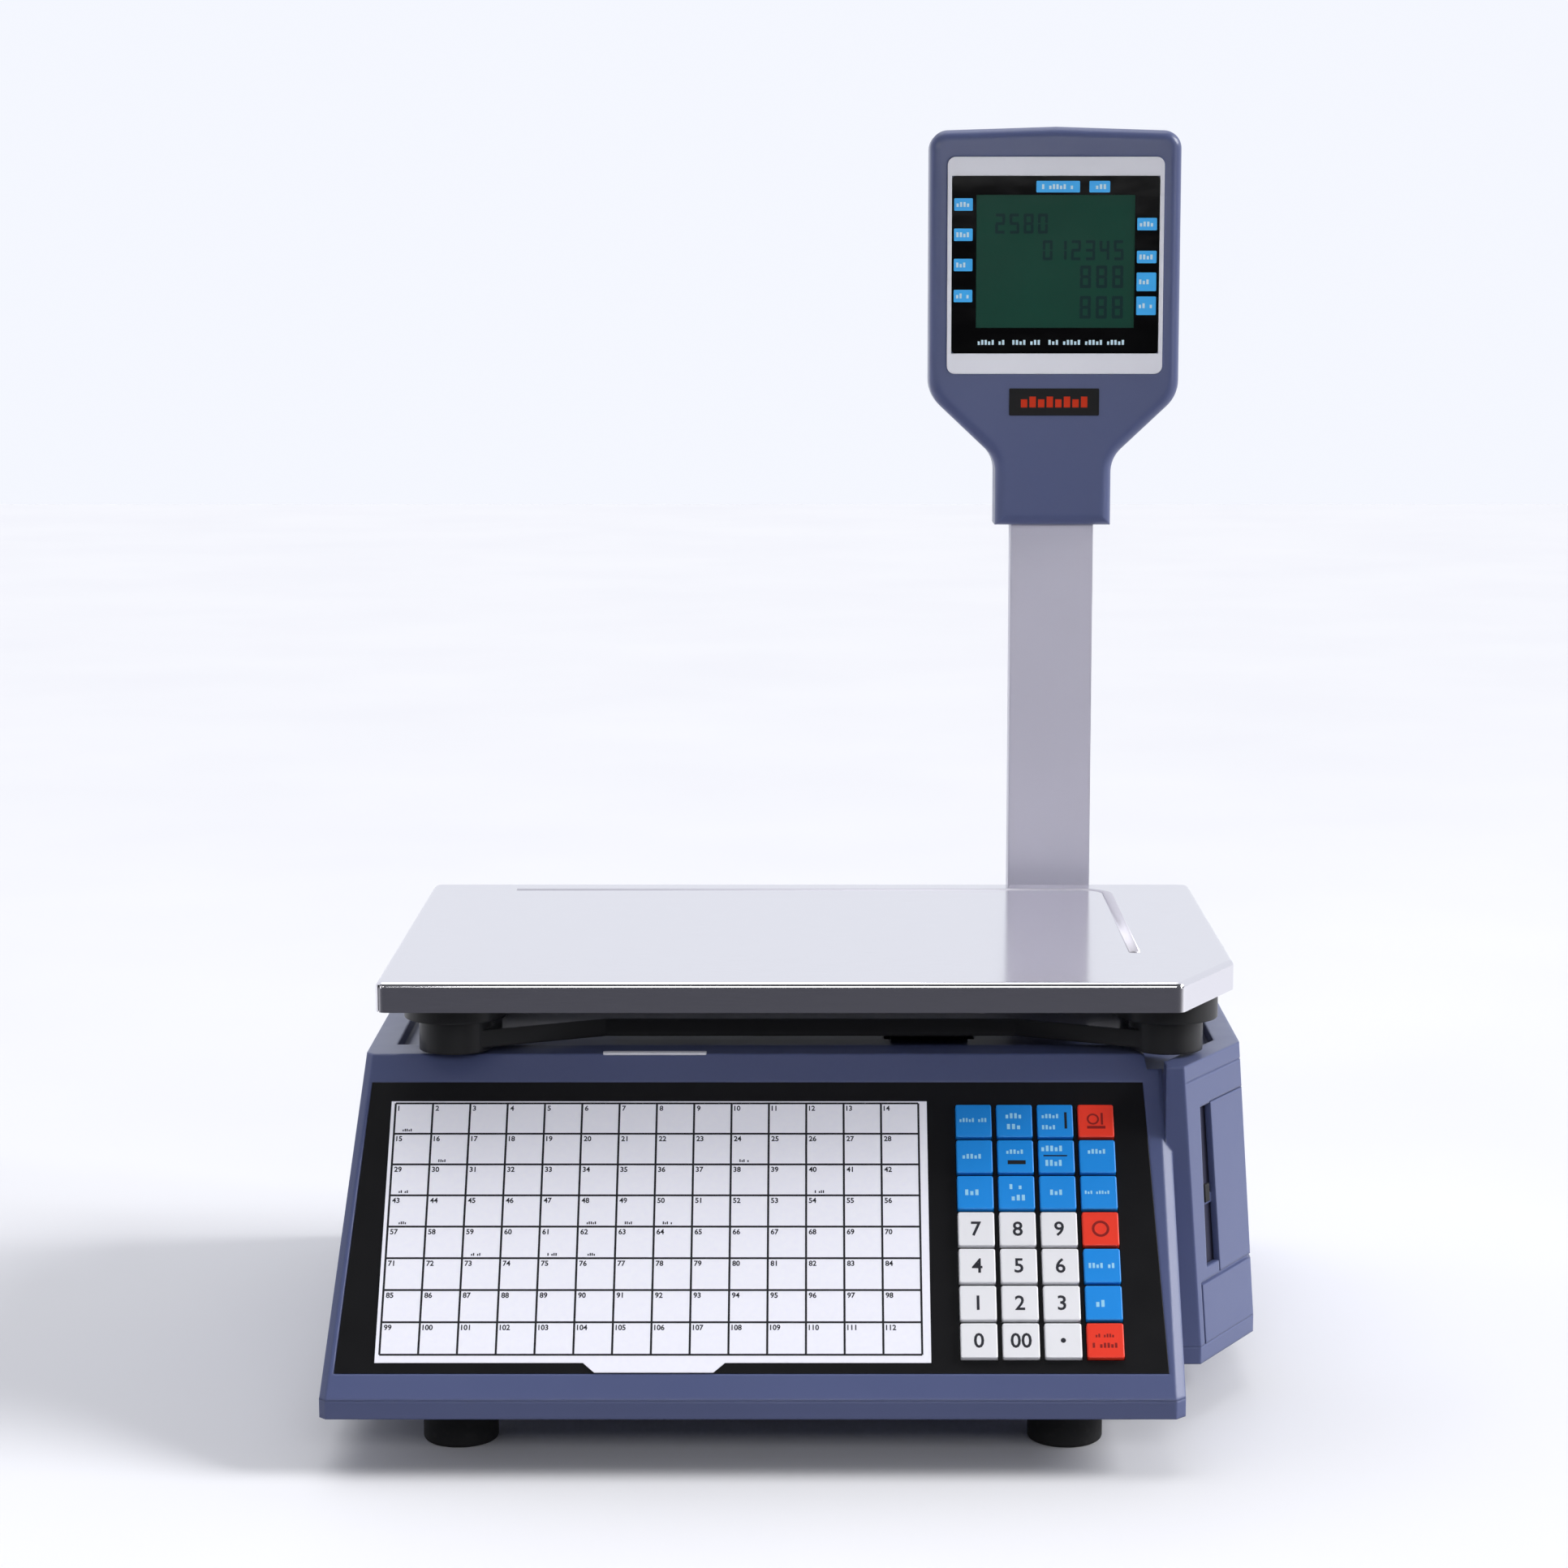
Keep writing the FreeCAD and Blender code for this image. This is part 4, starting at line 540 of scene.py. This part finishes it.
# Blue and red keys: rows of bars as (across, up, width, height) in shares of the key's size.
WORDS = {
    "key_f1": ((0, 0.02, 0.78, 0.12),),
    "key_f2": ((0, 0.15, 0.48, 0.16), (0, -0.18, 0.42, 0.16)),
    "key_f3": ((-0.12, 0.14, 0.5, 0.13), (-0.12, -0.2, 0.5, 0.13)),
    "key_f4": ((0, 0.0, 0.66, 0.14),),
    "key_f5": ((0, 0.14, 0.5, 0.13),),
    "key_f6": ((-0.1, 0.24, 0.62, 0.17), (0.0, -0.2, 0.62, 0.18)),
    "key_f7": ((0, 0.15, 0.52, 0.14),),
    "key_tare": ((0, 0.0, 0.56, 0.17),),
    "key_change": ((0, 0.17, 0.38, 0.15), (0, -0.16, 0.56, 0.17)),
    "key_zero": ((0.04, 0.0, 0.5, 0.16),),
    "key_cash": ((0, 0.0, 0.78, 0.1),),
    "key_add": ((0, 0.0, 0.74, 0.15),),
    "key_total": ((0, -0.02, 0.42, 0.2),),
    "key_print": ((0, 0.14, 0.52, 0.1), (0, -0.14, 0.7, 0.14)),
}
# Keys that also carry a dark mark, as boxes of (left, low, right, high) in shares of the key's size.
DARK_MARKS = {
    "key_f3": (0.26, -0.24, 0.33, 0.26),
    "key_f5": (-0.22, -0.24, 0.28, -0.12),
    "key_f6": (-0.36, 0.0, 0.3, 0.04),
}


def add_key_box(builder, place, level, box):
    """A flat bar on a key's top, its box in shares of the key's size."""
    outline = rectangle(*(share * KEY_SIZE for share in box))
    add_prism(builder, place, outline, level, level + PRINT)


def add_point(builder, place, level):
    """The dot on the decimal point's key."""
    half = 0.07 * KEY_SIZE
    add_prism(builder, place, rounded_rectangle(-half, -half, half, half, half), level, level + PRINT)


def add_feed_mark(builder, place, level):
    """The paper feed's sign: a ring for the roll, and two bars for its strip of labels."""
    add_ring(builder, place, -0.08 * KEY_SIZE, 0.05 * KEY_SIZE, 0.17 * KEY_SIZE, 0.05 * KEY_SIZE, level)
    add_key_box(builder, place, level, (-0.25, -0.24, 0.26, -0.16))
    add_key_box(builder, place, level, (0.14, -0.12, 0.2, 0.24))


def legend_look(node):
    """The ink of a key's legend."""
    if node in WHITE_KEYS:
        return "key_ink"
    return "dark_red_ink" if node in RED_KEYS else "pale_ink"


def print_key(node):
    """The legend on one key: a digit, rows of bars or a plain symbol."""
    x, y, level = key_top(node)
    place = PANEL @ Matrix.Translation((x, y, 0))
    legend = bmesh.new()
    if node == "key_point":
        add_point(legend, place, level)
    elif node in WHITE_KEYS:
        add_text(legend, place, node.split("_")[1], 0, 0, 0.42 * KEY_SIZE, level, PRINT, 0.02)
    for row, shares in enumerate(WORDS.get(node, ())):
        across, up, width, height = (share * KEY_SIZE for share in shares)
        add_word(legend, place, across, up, width, height, level, row + len(node))
    if node == "key_clear":
        add_ring(legend, place, 0, 0, 0.24 * KEY_SIZE, 0.07 * KEY_SIZE, level)
    if node == "key_feed":
        add_feed_mark(legend, place, level)
    name = node.removeprefix("key_")
    finish_piece(f"legend_{name}", legend, legend_look(node), BODY_OF[node])
    if node in DARK_MARKS:
        mark = bmesh.new()
        add_key_box(mark, place, level, DARK_MARKS[node])
        finish_piece(f"mark_{name}", mark, "ink", BODY_OF[node])


def print_keys():
    """A legend on every key."""
    for members in BODIES.values():
        if members[0].startswith("key_"):
            print_key(members[0])


# ---------------------------------------------------------------- display heads

HEAD_LOW, HEAD_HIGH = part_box("head_front_shell")
HEAD_X = (HEAD_LOW.x + HEAD_HIGH.x) / 2
# A face seen from its own side: x to the viewer's right, y up, z out of the face.
FRONT_FACE = Matrix(((1, 0, 0, HEAD_X), (0, 0, -1, 0), (0, 1, 0, 0), (0, 0, 0, 1)))
REAR_FACE = Matrix(((-1, 0, 0, HEAD_X), (0, 0, 1, 0), (0, 1, 0, 0), (0, 0, 0, 1)))

SEGMENTS = {
    "0": "abcdef", "1": "bc", "2": "abged", "3": "abgcd", "4": "fgbc", "5": "afgcd",
    "6": "afgedc", "7": "abc", "8": "abcdefg", "9": "abcdfg",
}


def add_segment_digit(builder, matrix, x, y, width, height, digit, level):
    """A seven-segment digit with its lower left corner at (x, y)."""
    line = 0.14 * height
    gap = 0.03 * height
    middle = y + height / 2
    bars = {
        "a": (x + gap, y + height - line, x + width - gap, y + height),
        "g": (x + gap, middle - line / 2, x + width - gap, middle + line / 2),
        "d": (x + gap, y, x + width - gap, y + line),
        "f": (x, middle + gap, x + line, y + height - gap),
        "b": (x + width - line, middle + gap, x + width, y + height - gap),
        "e": (x, y + gap, x + line, middle - gap),
        "c": (x + width - line, y + gap, x + width, middle - gap),
    }
    for step, segment in enumerate(SEGMENTS[digit]):
        add_prism(builder, matrix, rectangle(*bars[segment]), level, level + PRINT * (1 - 0.05 * step))


# Blue tags on the window as (x, y, width, height), in shares of its half width and half height.
TAGS = (
    (-0.89, 0.68, 0.18, 0.14), (-0.89, 0.34, 0.18, 0.14),
    (-0.89, 0.0, 0.18, 0.14), (-0.89, -0.35, 0.18, 0.14),
    (0.02, 0.88, 0.42, 0.13), (0.42, 0.88, 0.2, 0.13),
    (0.88, 0.46, 0.19, 0.14), (0.88, 0.09, 0.19, 0.14),
    (0.88, -0.19, 0.19, 0.21), (0.88, -0.46, 0.19, 0.21),
)
TAG_CORNER = 0.5 * MM
TALLEST_TAG_WORD = 5.7 * MM     # a taller tag's word is sized as if the tag had this height
# The row of pale words under the liquid-crystal panel, as (x, width) in shares of the half width.
LOW_ROW = ((-0.61, 0.27), (-0.27, 0.28), (0.33, 0.78))
LOW_ROW_AT = -0.875             # its height, in shares of the half height
LOW_ROW_TALL = 2.4 * MM
# Rows of figures on the liquid-crystal panel: right end, low edge and height in shares of its
# half size, and the digits.
FIGURES = (
    (-0.10, 0.42, 0.30, "2580"),
    (0.86, 0.02, 0.30, "012345"),
    (0.86, -0.40, 0.34, "888"),
    (0.86, -0.86, 0.34, "888"),
)
DIGIT_WIDE, DIGIT_PITCH = 0.5, 0.72     # in shares of a digit's height


def middle_and_half(node, face):
    """Height of a display part's middle, its half width and half height, and its face's level."""
    low, high = box_in(node, face)
    return (low.y + high.y) / 2, (high.x - low.x) / 2, (high.y - low.y) / 2, high.z


def dress_window(side, face):
    """Blue tags with pale words, and a low row of pale words, on one side's window."""
    middle, half_wide, half_tall, level = middle_and_half("display_windows", face)
    tags = bmesh.new()
    marks = bmesh.new()
    for index, (x, y, width, height) in enumerate(TAGS):
        tag_x, tag_y = x * half_wide, middle + y * half_tall
        wide, tall = width * half_wide, height * half_tall
        outline = rounded_rectangle(tag_x - wide / 2, tag_y - tall / 2, tag_x + wide / 2,
                                    tag_y + tall / 2, TAG_CORNER)
        add_prism(tags, face, outline, level, level + PRINT)
        word_tall = 0.42 * min(tall, TALLEST_TAG_WORD)
        add_word(marks, face, tag_x, tag_y, 0.74 * wide, word_tall, level + PRINT, index)
    row = middle + LOW_ROW_AT * half_tall
    for index, (x, width) in enumerate(LOW_ROW):
        add_word(marks, face, x * half_wide, row, width * half_wide, LOW_ROW_TALL, level, index)
    finish_piece(f"{side}_display_tags", tags, "tag", HOUSING)
    finish_piece(f"{side}_display_marks", marks, "tag_mark", HOUSING)


def print_figures(side, face):
    """Faint seven-segment figures on one side's liquid-crystal panel."""
    middle, half_wide, half_tall, level = middle_and_half("display_panels", face)
    figures = bmesh.new()
    for right, bottom, height, digits in FIGURES:
        tall = height * half_tall
        low = middle + bottom * half_tall
        for place, digit in enumerate(reversed(digits)):
            left = right * half_wide - place * DIGIT_PITCH * tall - DIGIT_WIDE * tall
            add_segment_digit(figures, face, left, low, DIGIT_WIDE * tall, tall, digit, level)
    finish_piece(f"{side}_display_figures", figures, "segment", HOUSING)


BADGE_WIDE, BADGE_TALL, BADGE_DEEP = 45.1 * MM, 13.5 * MM, 0.5 * MM
BADGE_SUNK = 0.3 * MM           # how far the plate goes into the shell
BADGE_DROP = 24.2 * MM          # from the window's lower edge to the plate's middle
BADGE_CORNER = 0.6 * MM
BLOCK_COUNT = 8
BLOCK_WIDE, BLOCK_TALL, BLOCK_PITCH = 3.2 * MM, 5.4 * MM, 4.3 * MM


def badge():
    """A small black plate under the front display with a row of plain red blocks."""
    window_low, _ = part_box("display_windows")
    middle = window_low.z - BADGE_DROP
    shell = -HEAD_LOW.y
    top = shell + BADGE_DEEP
    plate = bmesh.new()
    outline = rounded_rectangle(-BADGE_WIDE / 2, middle - BADGE_TALL / 2, BADGE_WIDE / 2,
                                middle + BADGE_TALL / 2, BADGE_CORNER)
    add_prism(plate, FRONT_FACE, outline, shell - BADGE_SUNK, top)
    finish_piece("badge_plate", plate, "fascia", HOUSING)
    blocks = bmesh.new()
    foot = middle - BLOCK_TALL / 2
    for i in range(BLOCK_COUNT):
        left = (i - (BLOCK_COUNT - 1) / 2) * BLOCK_PITCH - BLOCK_WIDE / 2
        rise = BLOCK_TALL * (1.0 if i % 2 else 0.75)
        block = rectangle(left, foot, left + BLOCK_WIDE, foot + rise)
        add_prism(blocks, FRONT_FACE, block, top, top + PRINT)
    # The red blocks are print; the glow in their look is painted light.
    finish_piece("badge_marks", blocks, "lamp", HOUSING)


# ---------------------------------------------------------------- small pieces on the body

# The bead's line on the tray, from the tray's edges.
BEAD_INSET_REAR, BEAD_INSET_SIDE, BEAD_FRONT_END = 16.5 * MM, 43 * MM, 70 * MM
BEAD_TURN = 12 * MM             # radius of its turn at the corner
BEAD_HALF_WIDTH, BEAD_RISE = 2.6 * MM, 0.35 * MM
TURN_STEPS = 8
# Its section, in shares of the half width and of the rise: a low crown with its foot in the tray.
BEAD_SECTION = (
    (-1.0, -0.3), (-1.0, 0.0), (-0.8, 0.45), (-0.4, 0.85), (0, 1.0),
    (0.4, 0.85), (0.8, 0.45), (1.0, 0.0), (1.0, -0.3),
)


def bead_path(low, high):
    """Along the tray's rear edge, round the corner, and forward near its right side."""
    rear, side = high.y - BEAD_INSET_REAR, high.x - BEAD_INSET_SIDE
    corner = Vector((side - BEAD_TURN, rear - BEAD_TURN))
    path = [Vector((low.x + BEAD_INSET_SIDE, rear))]
    for step in range(TURN_STEPS + 1):
        angle = math.radians(90 - 90 * step / TURN_STEPS)
        path.append(corner + BEAD_TURN * Vector((math.cos(angle), math.sin(angle))))
    path.append(Vector((side, low.y + BEAD_FRONT_END)))
    return path


def tray_bead():
    """The thin raised bead pressed along the tray's rear and down its right side."""
    low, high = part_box("tray")
    path = bead_path(low, high)
    builder = bmesh.new()
    rings = []
    for index, point in enumerate(path):
        before, after = path[max(0, index - 1)], path[min(len(path) - 1, index + 1)]
        along = (after - before).normalized()
        across = Vector((-along.y, along.x)) * BEAD_HALF_WIDTH
        ring = []
        for u, v in BEAD_SECTION:
            place = point + u * across
            ring.append(builder.verts.new((place.x, place.y, high.z + v * BEAD_RISE)))
        rings.append(ring)
    for first, second in zip(rings, rings[1:]):
        for i in range(len(BEAD_SECTION)):
            j = (i + 1) % len(BEAD_SECTION)
            builder.faces.new((first[i], second[i], second[j], first[j]))
    builder.faces.new(rings[0])
    builder.faces.new(list(reversed(rings[-1])))
    bmesh.ops.recalc_face_normals(builder, faces=builder.faces)
    bead = finish_piece("tray_bead", builder, "bead", BODY_OF["tray"])
    for polygon in bead.data.polygons:
        polygon.use_smooth = True


CLIP_WIDE, CLIP_DEEP, CLIP_CORNER = 46.5 * MM, 3.4 * MM, 1.0 * MM
CLIP_PROUD, CLIP_SUNK = 0.8 * MM, 0.4 * MM
CLIP_FROM_CARD = 93.5 * MM      # from the card's left edge to the clip's
EDGE_FROM_FRONT = 104.5 * MM    # from the housing's front to the wedge's upper edge


def card_clip():
    """A pale strip on the wedge's upper edge."""
    card_low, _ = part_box("preset_key_card")
    left = card_low.x + CLIP_FROM_CARD
    edge_y, edge_z = COVER_LOW.y + EDGE_FROM_FRONT, COVER_HIGH.z
    outline = rounded_rectangle(left, edge_y - CLIP_DEEP / 2, left + CLIP_WIDE,
                                edge_y + CLIP_DEEP / 2, CLIP_CORNER)
    clip = bmesh.new()
    add_prism(clip, Matrix.Identity(4), outline, edge_z - CLIP_SUNK, edge_z + CLIP_PROUD)
    finish_piece("card_clip", clip, "bezel", HOUSING)


# ---------------------------------------------------------------- stage

FLOOR_HALF, FLOOR_THICK = 6.0, 0.02


def floor_paper():
    """Pale paper. In front of the scale it looks pale too, but it is dim to every ray that doesn't
    come from the camera, as with a black flag on a set, so that the tray's rim mirrors a dark floor."""
    shader = Shader("floor_paper", 0.75)
    pale = shader.blend(linear((0.86, 0.86, 0.88)), linear((0.89, 0.89, 0.90)), shader.noise(3, 2))
    split = shader.node("ShaderNodeSeparateXYZ")
    shader.set(split, "Vector", shader.place)
    in_front = shader.span(split.outputs["Y"], 1.0, 0.0, -0.55, 0.05)
    unseen = shader.node("ShaderNodeMath", operation="SUBTRACT")
    shader.set(unseen, 0, 1.0)
    shader.set(unseen, 1, shader.node("ShaderNodeLightPath").outputs["Is Camera Ray"])
    flagged = shader.node("ShaderNodeMath", operation="MULTIPLY")
    shader.set(flagged, 0, in_front)
    shader.set(flagged, 1, unseen.outputs[0])
    shader.colour(shader.blend(pale, linear((0.22, 0.22, 0.25)), flagged.outputs[0]))
    return shader.material


def floor():
    """A wide slab with its top under the feet."""
    top = CAD_BOX[0][2]
    builder = bmesh.new()
    outline = rectangle(-FLOOR_HALF, -FLOOR_HALF, FLOOR_HALF, FLOOR_HALF)
    add_prism(builder, Matrix.Identity(4), outline, top - FLOOR_THICK, top)
    mesh = bpy.data.meshes.new("floor")
    builder.to_mesh(mesh)
    builder.free()
    mesh.materials.append(floor_paper())
    slab = bpy.data.objects.new("floor", mesh)
    bpy.context.scene.collection.objects.link(slab)


SKY_DIM, SKY_BRIGHT = 0.12, 0.95     # strength in front of the scale and behind it
SKY_TURNS = (-0.25, 0.35)            # it brightens between these Y parts of a ray's direction


def sky():
    """A surround that looks pale, and lights the scale from behind more than from the camera's side."""
    world = bpy.data.worlds.new("studio")
    bpy.context.scene.world = world
    world.use_nodes = True
    nodes, links = world.node_tree.nodes, world.node_tree.links
    background = nodes["Background"]
    background.inputs["Color"].default_value = linear((0.96, 0.97, 1.0))
    split = nodes.new("ShaderNodeSeparateXYZ")
    links.new(nodes.new("ShaderNodeTexCoord").outputs["Generated"], split.inputs[0])
    strength = nodes.new("ShaderNodeMapRange")
    strength.interpolation_type = "SMOOTHSTEP"
    links.new(split.outputs["Y"], strength.inputs["Value"])
    strength.inputs["From Min"].default_value, strength.inputs["From Max"].default_value = SKY_TURNS
    strength.inputs["To Min"].default_value = SKY_DIM
    strength.inputs["To Max"].default_value = SKY_BRIGHT
    pale = nodes.new("ShaderNodeMath")
    pale.operation = "MAXIMUM"
    links.new(strength.outputs["Result"], pale.inputs[0])
    links.new(nodes.new("ShaderNodeLightPath").outputs["Is Camera Ray"], pale.inputs[1])
    links.new(pale.outputs[0], background.inputs["Strength"])


def add_lamp(data):
    """Put a lamp into the scene."""
    lamp = bpy.data.objects.new(data.name, data)
    bpy.context.scene.collection.objects.link(lamp)
    return lamp


def sun_light(name, towards, power, spread):
    """A far lamp that lights the floor evenly; towards is the way from the scale to the lamp."""
    data = bpy.data.lights.new(name, "SUN")
    data.energy = power
    data.angle = math.radians(spread)
    add_lamp(data).rotation_euler = Vector(towards).to_track_quat("Z", "Y").to_euler()


def area_light(name, place, target, power, width, height, spread=180):
    """A soft box that faces the target; a small spread, in degrees, keeps its light near its axis."""
    data = bpy.data.lights.new(name, "AREA")
    data.shape = "RECTANGLE"
    data.size, data.size_y = width, height
    data.energy = power
    data.spread = math.radians(spread)
    lamp = add_lamp(data)
    lamp.location = place
    lamp.rotation_euler = (Vector(target) - Vector(place)).to_track_quat("-Z", "Y").to_euler()


def lights():
    """A key light from the right, a soft one above, strips at both sides, and two fills in front."""
    sun_light("key_right", (0.84, -0.05, 0.54), 2.9, 25)
    sun_light("top", (-0.15, 0.25, 0.95), 0.9, 50)
    area_light("front_right", (1.6, -0.9, 0.5), (0.1, -0.1, 0.2), 3.5, 0.3, 1.2)
    area_light("front_left", (-1.6, -0.9, 0.5), (-0.1, -0.1, 0.2), 1.5, 0.3, 1.2)
    area_light("panel_fill", (0.1, -1.5, 0.75), (0.0, -0.12, 0.12), 0.75, 0.8, 0.3, spread=60)
    area_light("head_fill", (-0.9, -1.3, 0.95), (0.12, 0.16, 0.43), 0.19, 0.5, 0.4, spread=20)


CAMERA_AT = (0.0044, -1.653, 0.5129)
CAMERA_DOWN = 8.33              # degrees below level
LENS, SENSOR, SHIFT = 81.7, 36, -0.0192


def camera():
    """The place and lens that show the scale as the reference view does."""
    data = bpy.data.cameras.new("camera")
    data.lens = LENS
    data.sensor_width = SENSOR
    data.shift_x = SHIFT
    seat = bpy.data.objects.new("camera", data)
    bpy.context.scene.collection.objects.link(seat)
    seat.location = CAMERA_AT
    seat.rotation_euler = (math.radians(90 - CAMERA_DOWN), 0, 0)
    bpy.context.scene.camera = seat
    bpy.context.scene.view_settings.view_transform = "Standard"


dress_cad_nodes()
print_card_rules(*card_area())
print_card_numbers(*card_area())
print_keys()
for side, face in (("front", FRONT_FACE), ("rear", REAR_FACE)):
    dress_window(side, face)
    print_figures(side, face)
badge()
tray_bead()
card_clip()
floor()
sky()
lights()
camera()
